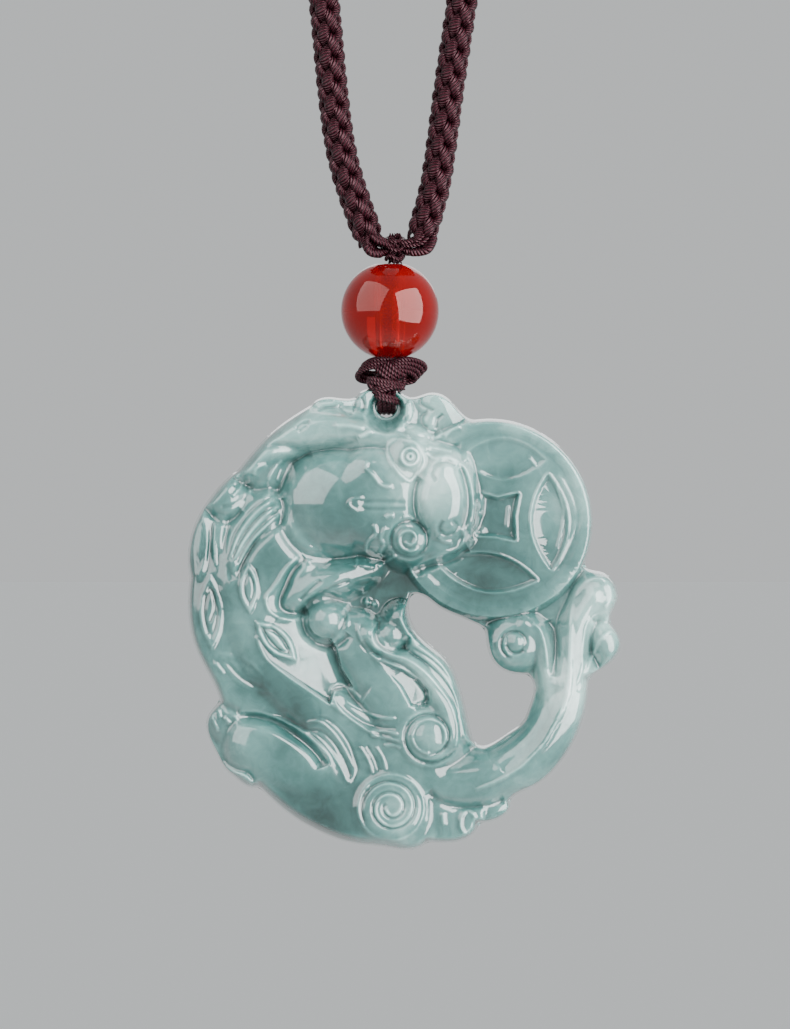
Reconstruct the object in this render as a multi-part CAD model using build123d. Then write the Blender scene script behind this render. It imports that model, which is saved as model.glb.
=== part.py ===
from build123d import *
import math
import os
import numpy as np
from scipy.spatial import Delaunay

# A carved jade pendant on a braided neck cord, in millimetres. The carved face looks along -Y,
# +X is to its right and +Z up. The origin is the underside of the top of the neck loop, where it hangs.

# Neck cord: a whole loop, and its route from one side of the gathering knot round to the other,
# as distances to the right of the bead's axis and up from the middle of the gathering knot
neck_cord_diameter = 3.4
arch_top = 293.0
bend_share = 0.45  # how much of the shorter run each bend's arc takes up
neck_route = [
    (-1.9, 0.5), (-3.6, 4.9), (-5.1, 10.0), (-5.9, 16.4), (-6.7, 25.4), (-8.2, 39.0), (-11.5, 66.0),
    (-17.7, 112.0), (-24.0, 164.0), (-29.0, 216.0), (-31.4, 249.0), (-30.4, 268.0), (-22.4, 284.6),
    (-8.0, arch_top),
    (8.0, arch_top), (22.4, 284.6), (30.6, 268.0), (31.8, 249.0), (29.6, 216.0), (24.8, 164.0),
    (18.6, 112.0), (12.8, 66.0), (9.3, 39.0), (7.4, 25.4), (6.0, 16.4), (5.2, 10.0), (4.4, 4.9), (2.9, 0.5),
]

# Knots, bead and thread
gather_width = 2.2
gather_height = 3.1
gather_end = 0.8
gather_shift = 0.5
bead_diameter = 10.0
bead_height = 9.5
bead_bore = 2.0
thread_diameter = 1.6
knot_width = 6.9
knot_height = 2.9
knot_end = 4.1
seat_gap = 0.06

# Thread hole, the bridge of jade above it and the doubled thread that goes round the bridge.
# The land is the flat round the hole, as a share of its diameter, and past it the faces rise by the slope.
# The jade swings about a line that lies pivot_rise above the top of the hole.
hole_diameter = 2.1
hole_land = 0.8
hole_slope = 1.3
bridge_height = 0.92
bridge_thickness = 2.8
pivot_rise = 0.5
bail_width = 1.6
bail_thickness = 0.8
bail_clearance = 0.1
knot_clearance = 0.6

# Jade: its size, and where the thread hole lies across it and up it, as shares of that size
jade_width = 44.2
jade_height = 47.1
hole_share = (0.458, 0.956)
bead_axis_share = 0.466
relief_height = 6.4
back_height = 3.0
edge_half = 0.7
edge_round = 4.0
opening_round = 2.6

# Cash coin: a disc with a raised rim, a square recess and leaf-shaped recesses round it
coin_radius = 10.0
coin_share = (0.704, 0.719)
coin_rise = 3.0
coin_rim_width = 1.6
coin_rim_rise = 0.4
coin_side_slope = 3.5
coin_side_inset = 0.2
coin_ledge_width = 1.5
coin_outline_angle = 38.0
coin_square = 4.1
coin_square_shift = 0.5
coin_square_depth = 1.2
leaf_length = 9.2
leaf_width = 3.3
leaf_depth = 0.8
coin_turn = -3.0
coin_leaves = [
    # angle round the coin, distance of the leaf's middle from the coin's, as a share of the coin's radius
    (-5.0, 0.56),
    (-96.0, 0.55),
    (77.0, 0.62),
]

# Outline of the jade, clockwise from the bridge's right end, one row for each stretch between two notches.
# Across and up are shares of the jade's width and height, and each row starts where the last one ends.
outline_rows = [
    ("crest", [(0.506, 0.981), (0.529, 0.981), (0.550, 0.989), (0.580, 0.989), (0.612, 0.968),
               (0.633, 0.944), (0.655, 0.931)]),
    ("coin", None),
    ("scroll", [(0.911, 0.613), (0.933, 0.606), (0.958, 0.602), (0.977, 0.589), (0.991, 0.565),
                (0.991, 0.539), (0.979, 0.515), (0.973, 0.494)]),
    ("scroll tip", [(0.973, 0.494), (0.991, 0.472), (1.000, 0.450), (0.993, 0.426), (0.968, 0.400),
                    (0.940, 0.383), (0.924, 0.370)]),
    ("tail", [(0.924, 0.370), (0.921, 0.329), (0.908, 0.275), (0.882, 0.221), (0.838, 0.167),
              (0.794, 0.136), (0.755, 0.119), (0.741, 0.108)]),
    ("long toe", [(0.741, 0.108), (0.744, 0.093), (0.723, 0.071), (0.695, 0.061), (0.670, 0.058)]),
    ("toes", [(0.670, 0.058), (0.661, 0.037), (0.637, 0.022), (0.594, 0.015), (0.552, 0.017)]),
    ("underside", [(0.552, 0.017), (0.536, 0.006), (0.497, 0.000), (0.457, 0.006), (0.406, 0.011),
                   (0.349, 0.022), (0.291, 0.045), (0.233, 0.078), (0.189, 0.113), (0.164, 0.136)]),
    ("knee", [(0.164, 0.136), (0.139, 0.136), (0.111, 0.154), (0.088, 0.173), (0.067, 0.208),
              (0.044, 0.255), (0.044, 0.288), (0.055, 0.305), (0.074, 0.323)]),
    ("flank", [(0.074, 0.323), (0.053, 0.370), (0.023, 0.424), (0.005, 0.478), (0.000, 0.539),
               (0.004, 0.590)]),
    ("shoulder", [(0.004, 0.590), (0.002, 0.660), (0.016, 0.708), (0.044, 0.755), (0.081, 0.797),
                  (0.115, 0.823)]),
    ("back", [(0.115, 0.823), (0.152, 0.866), (0.196, 0.907), (0.247, 0.942), (0.284, 0.963)]),
    ("crown", [(0.284, 0.963), (0.326, 0.981), (0.360, 0.977), (0.388, 0.979)]),
    ("spike", [(0.388, 0.979), (0.395, 0.991), (0.411, 0.998), (0.427, 0.998)]),
]

# Pierced opening between the coin, the wing and the tail, in the same shares
opening_rows = [
    ("under the coin", [(0.515, 0.554), (0.534, 0.554), (0.571, 0.530), (0.619, 0.507), (0.665, 0.489),
                        (0.684, 0.480)]),
    ("round the tail curl", [(0.684, 0.480), (0.688, 0.450), (0.700, 0.413), (0.721, 0.392), (0.753, 0.381),
                             (0.786, 0.380)]),
    ("inside the tail", [(0.786, 0.380), (0.798, 0.346), (0.788, 0.314), (0.769, 0.275), (0.744, 0.258),
                         (0.709, 0.236), (0.682, 0.225)]),
    ("along the wing", [(0.682, 0.225), (0.665, 0.229), (0.654, 0.255), (0.642, 0.305), (0.626, 0.360),
                        (0.594, 0.418), (0.559, 0.446), (0.525, 0.478), (0.510, 0.520), (0.515, 0.554)]),
]

# Raised forms of the carved face. Places and half sizes are shares of the jade's width and height,
# rises are shares of relief_height, and a higher power gives a flatter top with steeper sides.
dome_rows = [
    # name, across, up, half width, half height, tilt, rise, power
    ("skull", 0.346, 0.751, 0.127, 0.123, 0, 1.00, 2.4),
    ("face", 0.524, 0.751, 0.143, 0.128, 0, 0.90, 4),
    ("muzzle", 0.589, 0.751, 0.062, 0.095, 0, 1.02, 2.4),
    ("upper eye", 0.513, 0.851, 0.044, 0.041, 0, 0.95, 2),
    ("lower eye", 0.513, 0.673, 0.048, 0.045, 0, 0.95, 2),
    ("ear", 0.309, 0.563, 0.129, 0.052, 14, 0.84, 2.4),
    ("ball", 0.323, 0.494, 0.046, 0.043, 0, 0.93, 2.4),
    ("small ball", 0.467, 0.468, 0.035, 0.032, 0, 0.82, 2),
    ("shoulder curl", 0.081, 0.775, 0.060, 0.048, 45, 0.68, 2),
    ("shoulder leaf", 0.169, 0.823, 0.051, 0.052, 0, 0.66, 2),
    ("thigh", 0.224, 0.206, 0.171, 0.078, -28, 0.86, 2.4),
    ("knee", 0.134, 0.234, 0.074, 0.069, 0, 0.80, 2),
    ("heel", 0.079, 0.292, 0.037, 0.048, 0, 0.55, 2),
    ("knee toe", 0.136, 0.162, 0.042, 0.035, 0, 0.55, 2),
    ("haunch", 0.464, 0.089, 0.092, 0.087, 0, 0.80, 3),
    ("wing curl", 0.561, 0.249, 0.079, 0.074, 0, 0.90, 3),
    ("toes", 0.605, 0.069, 0.083, 0.052, 0, 0.66, 2.4),
    ("long toe", 0.697, 0.091, 0.055, 0.030, 20, 0.50, 2),
    ("scroll", 0.954, 0.558, 0.046, 0.052, 0, 0.68, 2),
    ("scroll tip", 0.963, 0.450, 0.037, 0.056, -30, 0.62, 2),
    ("tail curl", 0.755, 0.448, 0.065, 0.061, 0, 0.60, 3),
    ("near crest", 0.529, 0.952, 0.037, 0.035, 0, 0.42, 2),
    ("far crest", 0.587, 0.948, 0.055, 0.043, 0, 0.50, 2),
    ("crown", 0.333, 0.961, 0.074, 0.028, 0, 0.40, 2),
    ("spike", 0.411, 0.970, 0.030, 0.035, 0, 0.36, 2),
]

limb_rows = [
    # name, half width as a share of the jade's width, rise, points across and up
    ("back", 0.069, 0.72, [(0.471, 0.905), (0.339, 0.913), (0.236, 0.866), (0.171, 0.797)]),
    ("paw", 0.060, 0.80, [(0.199, 0.742), (0.150, 0.693), (0.115, 0.628), (0.106, 0.563)]),
    ("flank", 0.083, 0.70, [(0.042, 0.639), (0.042, 0.519), (0.079, 0.422), (0.143, 0.346)]),
    ("trunk", 0.129, 0.80, [(0.155, 0.574), (0.201, 0.455), (0.293, 0.346), (0.409, 0.249),
                            (0.490, 0.184)]),
    ("foreleg", 0.074, 0.88, [(0.379, 0.455), (0.416, 0.357), (0.485, 0.271)]),
    ("wing", 0.051, 0.86, [(0.439, 0.494), (0.517, 0.422), (0.582, 0.346), (0.617, 0.260)]),
    ("belly", 0.079, 0.72, [(0.259, 0.108), (0.363, 0.069), (0.490, 0.043)]),
    ("tail", 0.074, 0.64, [(0.647, 0.162), (0.755, 0.184), (0.831, 0.249), (0.871, 0.335), (0.882, 0.422),
                           (0.898, 0.509), (0.933, 0.567)]),
]
limb_power = 2.4
ground_rise = 0.36
ledge_rise = 0.31
crease_sharpness = 5.0
height_bound = 20.0

# Facets: the spacing of the carved face's points and of the outline's, the width of a carved step,
# and the least room between lines of points, the last as a share of facet_size
facet_size = 0.92
outline_step = 0.75
carved_step = 0.34
line_room = 0.28
field_room = 0.55
hole_sides = 16
coin_sides = 76
coin_side_lines = (-0.15, 0.3)

# Heights of the pieces, from the top of the loop down
gather_z = -(arch_top - neck_cord_diameter / 2)
bead_z = gather_z - gather_height / 2 - seat_gap - bead_height / 2
knot_z = bead_z - bead_height / 2 - seat_gap - knot_height / 2
knot_bottom = knot_z - knot_height / 2
pivot_z = knot_bottom - knot_clearance
bail_inner = math.hypot(bridge_thickness / 2, pivot_rise) + bail_clearance
hole_top = pivot_z - pivot_rise
hole_z = hole_top - hole_diameter / 2
hole_corner_radius = hole_diameter / 2 / math.cos(math.pi / hole_sides)
hole_x = (hole_share[0] - bead_axis_share) * jade_width
jade_top = hole_top + bridge_height
jade_bottom = jade_top - jade_height


def across(share):
    return (share - bead_axis_share) * jade_width


def up(share):
    return jade_bottom + share * jade_height


def coin_point(angle, radius):
    turn = math.radians(angle)
    middle = Vector(across(coin_share[0]), 0, up(coin_share[1]))
    return middle + Vector(math.cos(turn), 0, math.sin(turn)) * radius


def closed_outline(rows, closing=None):
    """Edges of an outline, with the coin's own arc where a row has no points of its own."""
    edges = []
    for index, (_, shares) in enumerate(rows):
        if shares is None:
            start = edges[-1].position_at(1)
            end_across, end_up = rows[index + 1][1][0]
            end = Vector(across(end_across), 0, up(end_up))
            edges.append(ThreePointArc(start, coin_point(coin_outline_angle, coin_radius), end).edge())
        else:
            edges.append(Spline([Vector(across(a), 0, up(b)) for a, b in shares]).edge())
    if closing is not None:
        edges.append(ThreePointArc(edges[-1].position_at(1), closing, edges[0].position_at(0)).edge())
    return edges


def distance_to_path(x, z, points, closed=False):
    """Distance from each grid point to a path of straight runs."""
    ends = np.roll(points, -1, axis=0) if closed else points[1:]
    best = np.full(x.shape, 1e9)
    for (x0, z0), (x1, z1) in zip(points, ends):
        length = (x1 - x0) ** 2 + (z1 - z0) ** 2
        share = np.clip(((x - x0) * (x1 - x0) + (z - z0) * (z1 - z0)) / max(length, 1e-12), 0, 1)
        best = np.minimum(best, np.hypot(x - x0 - share * (x1 - x0), z - z0 - share * (z1 - z0)))
    return best


def inside(x, z, points):
    """True where a grid point lies inside a closed path."""
    found = np.zeros(x.shape, dtype=bool)
    for (x0, z0), (x1, z1) in zip(points, np.roll(points, -1, axis=0)):
        if z0 == z1:
            continue
        crosses = ((z0 > z) != (z1 > z)) & (x < (x1 - x0) * (z - z0) / (z1 - z0) + x0)
        found ^= crosses
    return found


def smooth_max(heights):
    stack = np.stack([np.clip(height, -height_bound, height_bound) for height in heights])
    return np.log(np.exp(stack * crease_sharpness).sum(axis=0)) / crease_sharpness


def smooth_min(first, second):
    return -smooth_max([-first, -second])


def edge_limit(depth, radius):
    """Height that the rounded edge allows at a depth inside the outline."""
    share = np.clip(depth / radius, 0, 1)
    return edge_half + relief_height * np.sqrt(1 - (1 - share) ** 2)


def carved_height(x, z):
    """Height of the carved face over the middle plane, before the edges are rounded."""
    ground = ground_rise * relief_height
    heights = []
    for _, centre_across, centre_up, half_across, half_up, tilt, rise, power in dome_rows:
        turn = math.radians(tilt)
        dx = x - across(centre_across)
        dz = z - up(centre_up)
        along = (dx * math.cos(turn) + dz * math.sin(turn)) / (half_across * jade_width)
        beside = (dz * math.cos(turn) - dx * math.sin(turn)) / (half_up * jade_height)
        top = rise * relief_height
        heights.append(top - (top - ground) * np.hypot(along, beside) ** power)
    for _, half_width, rise, shares in limb_rows:
        path = np.array([(across(a), up(b)) for a, b in shares])
        reach = distance_to_path(x, z, path) / (half_width * jade_width)
        top = rise * relief_height
        heights.append(top - (top - ground) * reach ** limb_power)
    coin_middle = coin_point(0, 0)
    from_coin = np.hypot(x - coin_middle.X, z - coin_middle.Z)
    rim_middle = coin_radius - coin_rim_width / 2
    rim = coin_rim_rise * np.exp(-((from_coin - rim_middle) / (coin_rim_width / 2)) ** 4)
    beyond = np.maximum(from_coin - coin_radius + coin_side_inset, 0)
    heights.append(coin_rise + rim - coin_side_slope * beyond)
    base = np.where(from_coin < coin_radius + coin_ledge_width, ledge_rise, ground_rise) * relief_height
    heights.append(base)
    return smooth_max(heights)


def loop_points(edges, step):
    """Points along closed edges, evenly spaced on each edge."""
    points = []
    for edge in edges:
        pieces = max(2, math.ceil(edge.length / step))
        places = [edge.position_at(piece / pieces) for piece in range(pieces)]
        points += [(place.X, place.Z) for place in places]
    return np.array(points)


def circle_points(centre_x, centre_z, radius, count):
    angles = np.arange(count) * 2 * math.pi / count
    return np.column_stack([centre_x + radius * np.cos(angles), centre_z + radius * np.sin(angles)])


def square_loop(grow):
    """Corners and sides of the coin's square recess, its sides moved out by grow."""
    half = coin_square / 2 + grow
    middle = coin_point(0, coin_square_shift)
    sides = [(-half, half), (half, half), (half, -half), (-half, -half)]
    turn = math.radians(coin_turn)
    cosine, sine = math.cos(turn), math.sin(turn)
    corners = [middle + Vector(a * cosine - b * sine, 0, a * sine + b * cosine) for a, b in sides]
    return [Line(first, second).edge() for first, second in zip(corners, corners[1:] + corners[:1])]


def leaf_loop(angle, offset, grow):
    """Two arcs of a leaf-shaped recess in the coin, across the line from the coin's middle."""
    turn = math.radians(angle)
    middle = coin_point(angle, offset * coin_radius)
    outward = Vector(math.cos(turn), 0, math.sin(turn)) * (leaf_width / 2 + grow)
    sideways = Vector(-math.sin(turn), 0, math.cos(turn)) * (leaf_length / 2 + 2 * grow)
    first = ThreePointArc(middle + sideways, middle + outward, middle - sideways)
    second = ThreePointArc(middle - sideways, middle - outward, middle + sideways)
    return [first.edge(), second.edge()]


def recess_rows():
    """Each recess of the coin: its edges, grown by the argument, and its depth."""
    rows = [(square_loop, coin_square_depth)]
    for angle, offset in coin_leaves:
        rows.append((lambda grow, angle=angle, offset=offset: leaf_loop(angle, offset, grow), leaf_depth))
    return rows


def recess_depth(x, z):
    """How far the coin's recesses cut below its field."""
    depth = np.zeros(x.shape)
    for shape, full_depth in recess_rows():
        path = loop_points(shape(0), outline_step / 2)
        into = distance_to_path(x, z, path, closed=True)
        into = np.where(inside(x, z, path), into, -into)
        depth = np.maximum(depth, full_depth * np.clip(into / carved_step + 0.5, 0, 1))
    return depth


def surface_points(loops):
    """Points for the two faces: the loops, lines along each carved step, and an even field between them."""
    middle = coin_point(0, 0)
    steps = [circle_points(middle.X, middle.Z, coin_radius + grow, coin_sides) for grow in coin_side_lines]
    for shape, _ in recess_rows():
        for grow in (-carved_step / 2, carved_step / 2):
            steps.append(loop_points(shape(grow), outline_step))
    fixed = np.vstack(loops)
    for step_points in steps:
        fixed = np.vstack([fixed, kept_points(step_points, fixed, loops, line_room)])
    low = fixed.min(axis=0)
    high = fixed.max(axis=0)
    rows = np.arange(low[1], high[1], facet_size * math.sqrt(3) / 2)
    field = []
    for row, height in enumerate(rows):
        shift = facet_size / 2 * (row % 2)
        places = np.arange(low[0] + shift, high[0], facet_size)
        field.append(np.column_stack([places, np.full(places.shape, height)]))
    field = kept_points(np.vstack(field), fixed, loops, facet_size * field_room)
    return np.vstack([fixed, field])


def kept_points(candidates, fixed, loops, clearance):
    """Candidates inside the jade and at least a clearance from the fixed points."""
    keep = in_jade(candidates[:, 0], candidates[:, 1], loops)
    for x, z in fixed:
        keep &= np.hypot(candidates[:, 0] - x, candidates[:, 1] - z) > clearance
    return candidates[keep]


def in_jade(x, z, loops):
    found = inside(x, z, loops[0])
    for hollow in loops[1:]:
        found &= ~inside(x, z, hollow)
    return found


def jade_heights(x, z, outer, opening):
    """Heights of the carved face and of the back at each point."""
    outer_depth = distance_to_path(x, z, outer, closed=True)
    opening_depth = distance_to_path(x, z, opening, closed=True)
    from_hole = np.hypot(x - hole_x, z - hole_z)
    hole_limit = bridge_thickness / 2 + hole_slope * np.maximum(from_hole - hole_diameter * hole_land, 0)
    edges = smooth_min(edge_limit(outer_depth, edge_round), edge_limit(opening_depth, opening_round))
    limit = smooth_min(edges, hole_limit)
    front = smooth_min(carved_height(x, z) - recess_depth(x, z), limit)
    back = smooth_min(np.full(x.shape, back_height), limit)
    near_hole = from_hole < hole_corner_radius + line_room / 2
    return np.where(near_hole, bridge_thickness / 2, front), np.where(near_hole, bridge_thickness / 2, back)


def jade_solid():
    outer = loop_points(closed_outline(outline_rows, closing=Vector(hole_x, 0, jade_top)), outline_step)
    opening = loop_points(closed_outline(opening_rows), outline_step)
    hole = circle_points(hole_x, hole_z, hole_corner_radius, hole_sides)
    loops = [outer, opening, hole]
    points = surface_points(loops)
    triangles = Delaunay(points).simplices
    middles = points[triangles].mean(axis=1)
    triangles = triangles[in_jade(middles[:, 0], middles[:, 1], loops)]
    front, back = jade_heights(points[:, 0], points[:, 1], outer, opening)
    front_places = [Vector(x, -height, z) for (x, z), height in zip(points, front)]
    back_places = [Vector(x, height, z) for (x, z), height in zip(points, back)]

    faces = []
    borders = {}
    for triangle in triangles:
        corners = [int(corner) for corner in triangle]
        faces.append(facet([front_places[corner] for corner in corners]))
        faces.append(facet([back_places[corner] for corner in reversed(corners)]))
        for start, end in zip(corners, corners[1:] + corners[:1]):
            if (end, start) in borders:
                del borders[(end, start)]
            else:
                borders[(start, end)] = True
    for start, end in borders:
        faces.append(facet([front_places[end], front_places[start], back_places[start]]))
        faces.append(facet([front_places[end], back_places[start], back_places[end]]))
    print("jade facets", len(faces))
    return Solid(Shell(faces))


def facet(corners):
    return Face(Wire.make_polygon(corners, close=True))


def knot_solid(width, height, end):
    """Round knot turned about Z, with a bulging side between flat ends."""
    low = (end / 2, 0, -height / 2)
    high = (end / 2, 0, height / 2)
    side = ThreePointArc(low, (width / 2, 0, 0), high)
    ends = Polyline(high, (0, 0, height / 2), (0, 0, -height / 2), low)
    return revolve(Face(Wire([side.edge(), *ends.edges()])), Axis.Z)


def bead_solid():
    """Round bead with small flats round the ends of its bore."""
    ball = Sphere(bead_diameter / 2) & Box(bead_diameter, bead_diameter, bead_height)
    return ball - Cylinder(bead_bore / 2, bead_diameter)


def bail_solid():
    """Doubled thread: a half circle under the bridge and two legs up to the knot."""
    middle = bail_inner + bail_thickness / 2
    leg_top = knot_bottom - seat_gap
    start = (hole_x, -middle, leg_top)
    front = (hole_x, -middle, pivot_z)
    lowest = (hole_x, 0, pivot_z - middle)
    back = (hole_x, middle, pivot_z)
    end = (hole_x, middle, leg_top)
    around = ThreePointArc(front, lowest, back)
    path = Wire([Line(start, front).edge(), around.edge(), Line(back, end).edge()])
    section = Plane(origin=start, x_dir=(1, 0, 0), z_dir=(0, 0, -1))
    return sweep(section * SlotOverall(bail_width, bail_thickness), path=path)


def neck_solid():
    points = [(side, 0, gather_z + rise) for side, rise in neck_route]
    radii = []
    for before, here, after in zip(points, points[1:], points[2:]):
        first = Vector(here) - Vector(before)
        second = Vector(after) - Vector(here)
        turn = math.radians(first.get_angle(second))
        radii.append(bend_share * min(first.length, second.length) / math.tan(turn / 2))
    path = FilletPolyline(*points, radius=radii)
    start = Plane(origin=path @ 0, z_dir=path % 0)
    tube = sweep(start * Circle(neck_cord_diameter / 2), path=path)
    print("neck cord length", round(path.length, 1), "tightest bend", round(min(radii), 1))
    return tube


def build():
    knot = Pos(0, 0, knot_z) * knot_solid(knot_width, knot_height, knot_end)
    gather = Pos(gather_shift, 0, gather_z) * knot_solid(gather_width, gather_height, gather_end)
    bead = Pos(0, 0, bead_z) * bead_solid()
    thread = Pos(0, 0, bead_z) * Cylinder(thread_diameter / 2, bead_height)
    return {
        "jade_carving": jade_solid(),
        "bail_loop": bail_solid(),
        "lower_knot": knot,
        "red_bead": bead,
        "bead_thread": thread,
        "gather_knot": gather,
        "neck_cord": neck_solid(),
    }


os.makedirs("parts", exist_ok=True)
for node, shape in build().items():
    export_step(shape, f"parts/{node}.step")
    print(node, "volume", round(shape.volume, 2), "valid", shape.is_valid)
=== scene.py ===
import bpy
import bmesh
import math
import numpy as np
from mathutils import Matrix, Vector
from mathutils.bvhtree import BVHTree
from mathutils.kdtree import KDTree


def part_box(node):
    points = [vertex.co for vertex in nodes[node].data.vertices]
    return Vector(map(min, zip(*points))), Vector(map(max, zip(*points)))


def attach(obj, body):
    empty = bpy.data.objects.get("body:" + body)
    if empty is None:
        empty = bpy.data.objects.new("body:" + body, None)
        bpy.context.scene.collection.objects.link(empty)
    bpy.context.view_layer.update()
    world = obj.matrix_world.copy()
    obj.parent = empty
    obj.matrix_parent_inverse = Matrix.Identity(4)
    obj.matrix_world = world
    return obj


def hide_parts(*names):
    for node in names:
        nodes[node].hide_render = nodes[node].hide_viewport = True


# A carved jade pendant that hangs from a braided neck cord. The frame is in metres, +Z is up, and the
# carved face looks along -Y. Each piece's own settings stand beside the code that uses them.
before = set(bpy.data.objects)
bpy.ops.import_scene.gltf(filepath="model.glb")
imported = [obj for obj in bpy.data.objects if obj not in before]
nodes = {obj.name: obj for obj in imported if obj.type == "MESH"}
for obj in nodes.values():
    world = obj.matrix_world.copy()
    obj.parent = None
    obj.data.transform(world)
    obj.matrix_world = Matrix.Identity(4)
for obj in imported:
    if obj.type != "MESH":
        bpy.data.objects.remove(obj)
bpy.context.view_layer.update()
mm = 0.001
print("frame loaded:", len(nodes), "nodes")


def nodeBox(name):
    low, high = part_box(name)
    return Vector(low), Vector(high)


# The photograph's pixels, where the jade's box lies in it, and how they become millimetres of the frame
jadeLow, jadeHigh = nodeBox("jade_carving")
photo = {"height": 1029, "middle": (395.0, 514.5), "left": 188.0, "right": 621.0, "top": 388.0,
         "bottom": 850.0}
pixelAcross = (jadeHigh.x - jadeLow.x) / mm / (photo["right"] - photo["left"])
pixelUp = (jadeHigh.z - jadeLow.z) / mm / (photo["bottom"] - photo["top"])


def across(px):
    # A pixel's place in mm of the frame, to the right here and upwards in the next one
    return jadeLow.x / mm + (px - photo["left"]) * pixelAcross


def up(py):
    return jadeLow.z / mm + (photo["bottom"] - py) * pixelUp


def places(points):
    return np.array([(across(px), up(py)) for px, py in points])


# Camera: level, straight at the carved face, from far enough away that the pendant keeps its shape
cameraSet = {"distance": 0.9, "sensor": 36.0}
viewHeight = photo["height"] * pixelUp * mm
cameraData = bpy.data.cameras.new("camera")
cameraData.sensor_width = cameraSet["sensor"]
cameraData.lens = cameraSet["sensor"] * cameraSet["distance"] / viewHeight
cameraData.clip_start = 0.01
cameraData.clip_end = 1000
camera = bpy.data.objects.new("camera", cameraData)
camera.location = (across(photo["middle"][0]) * mm, -cameraSet["distance"], up(photo["middle"][1]) * mm)
camera.rotation_euler = (math.radians(90), 0, 0)
bpy.context.collection.objects.link(camera)
bpy.context.scene.camera = camera
print("camera set, view height mm", round(viewHeight / mm, 1))


# Materials

def linear(colour):
    parts = [int(colour[place:place + 2], 16) / 255 for place in (1, 3, 5)]
    return [part / 12.92 if part <= 0.04045 else ((part + 0.055) / 1.055) ** 2.4 for part in parts] + [1.0]


def newMaterial(name):
    material = bpy.data.materials.new(name)
    material.use_nodes = True
    material.node_tree.nodes.clear()
    return material, material.node_tree


def addNode(tree, kind, settings=None, inputs=None):
    node = tree.nodes.new(kind)
    for name, value in (settings or {}).items():
        setattr(node, name, value)
    for name, value in (inputs or {}).items():
        if isinstance(value, bpy.types.NodeSocket):
            tree.links.new(value, node.inputs[name])
        else:
            node.inputs[name].default_value = value
    return node


def colourSteps(node, steps):
    ramp = node.color_ramp
    while len(ramp.elements) < len(steps):
        ramp.elements.new(0.5)
    for element, (place, colour) in zip(ramp.elements, steps):
        element.position = place
        element.color = linear(colour)


def jadeMaterial():
    # Jadeite, cut and polished to a glass-like gloss: light goes a few millimetres in, so it glows
    # grey-green, with whitish clouds in it; its hollows are painted darker and its crests paler as painted
    # shade and light
    look = {"hollow": "#15322f", "deep": "#335b58", "body": "#567e7a", "pale": "#8fafaa", "cloud": "#bdd2ce",
            "cloudSize": 7.0, "cloudShare": 0.5, "wispSize": 1.6, "wispShare": 0.28, "lift": 0.02,
            "polishSize": 0.8, "glowDepth": 1.8}
    material, tree = newMaterial("jadeitePolished")
    place = addNode(tree, "ShaderNodeTexCoord")
    clouds = addNode(tree, "ShaderNodeTexNoise", inputs={
        "Vector": place.outputs["Object"], "Scale": 1 / (look["cloudSize"] * mm), "Detail": 3.0,
        "Roughness": 0.55, "Distortion": 0.5})
    wisps = addNode(tree, "ShaderNodeTexNoise", inputs={
        "Vector": place.outputs["Object"], "Scale": 1 / (look["wispSize"] * mm), "Detail": 4.0,
        "Roughness": 0.6, "Distortion": 0.9})
    # The vertex number holds the stone's own patches together with painted light and painted shade
    toneAndShade = addNode(tree, "ShaderNodeAttribute", {"attribute_name": "toneAndShade"})
    soft = addNode(tree, "ShaderNodeMath", {"operation": "MULTIPLY_ADD"},
                   {0: clouds.outputs["Fac"], 1: look["cloudShare"], 2: look["lift"]})
    fine = addNode(tree, "ShaderNodeMath", {"operation": "MULTIPLY_ADD"},
                   {0: wisps.outputs["Fac"], 1: look["wispShare"], 2: soft.outputs[0]})
    share = addNode(tree, "ShaderNodeMath", {"operation": "ADD"},
                    {0: fine.outputs[0], 1: toneAndShade.outputs["Fac"]})
    # The ramp's darkest step is painted shade for the hollows, and its pale end also takes painted light
    colour = addNode(tree, "ShaderNodeValToRGB", inputs={"Fac": share.outputs[0]})
    colourSteps(colour, [(0.0, look["hollow"]), (0.28, look["deep"]), (0.5, look["body"]),
                         (0.76, look["pale"]), (1.0, look["cloud"])])
    ripple = addNode(tree, "ShaderNodeTexNoise", inputs={
        "Vector": place.outputs["Object"], "Scale": 1 / (look["polishSize"] * mm), "Detail": 2.0})
    bump = addNode(tree, "ShaderNodeBump", inputs={
        "Height": ripple.outputs["Fac"], "Strength": 0.05, "Distance": 0.1 * mm})
    surface = addNode(tree, "ShaderNodeBsdfPrincipled", {"subsurface_method": "RANDOM_WALK"}, {
        "Base Color": colour.outputs["Color"], "Roughness": 0.1, "IOR": 1.66,
        "Normal": bump.outputs["Normal"], "Subsurface Weight": 0.8, "Subsurface Radius": (0.75, 1.0, 0.95),
        "Subsurface Scale": look["glowDepth"] * mm, "Coat Weight": 0.9, "Coat Roughness": 0.02,
        "Coat IOR": 1.6})
    addNode(tree, "ShaderNodeOutputMaterial", inputs={"Surface": surface.outputs["BSDF"]})
    return material


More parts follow.
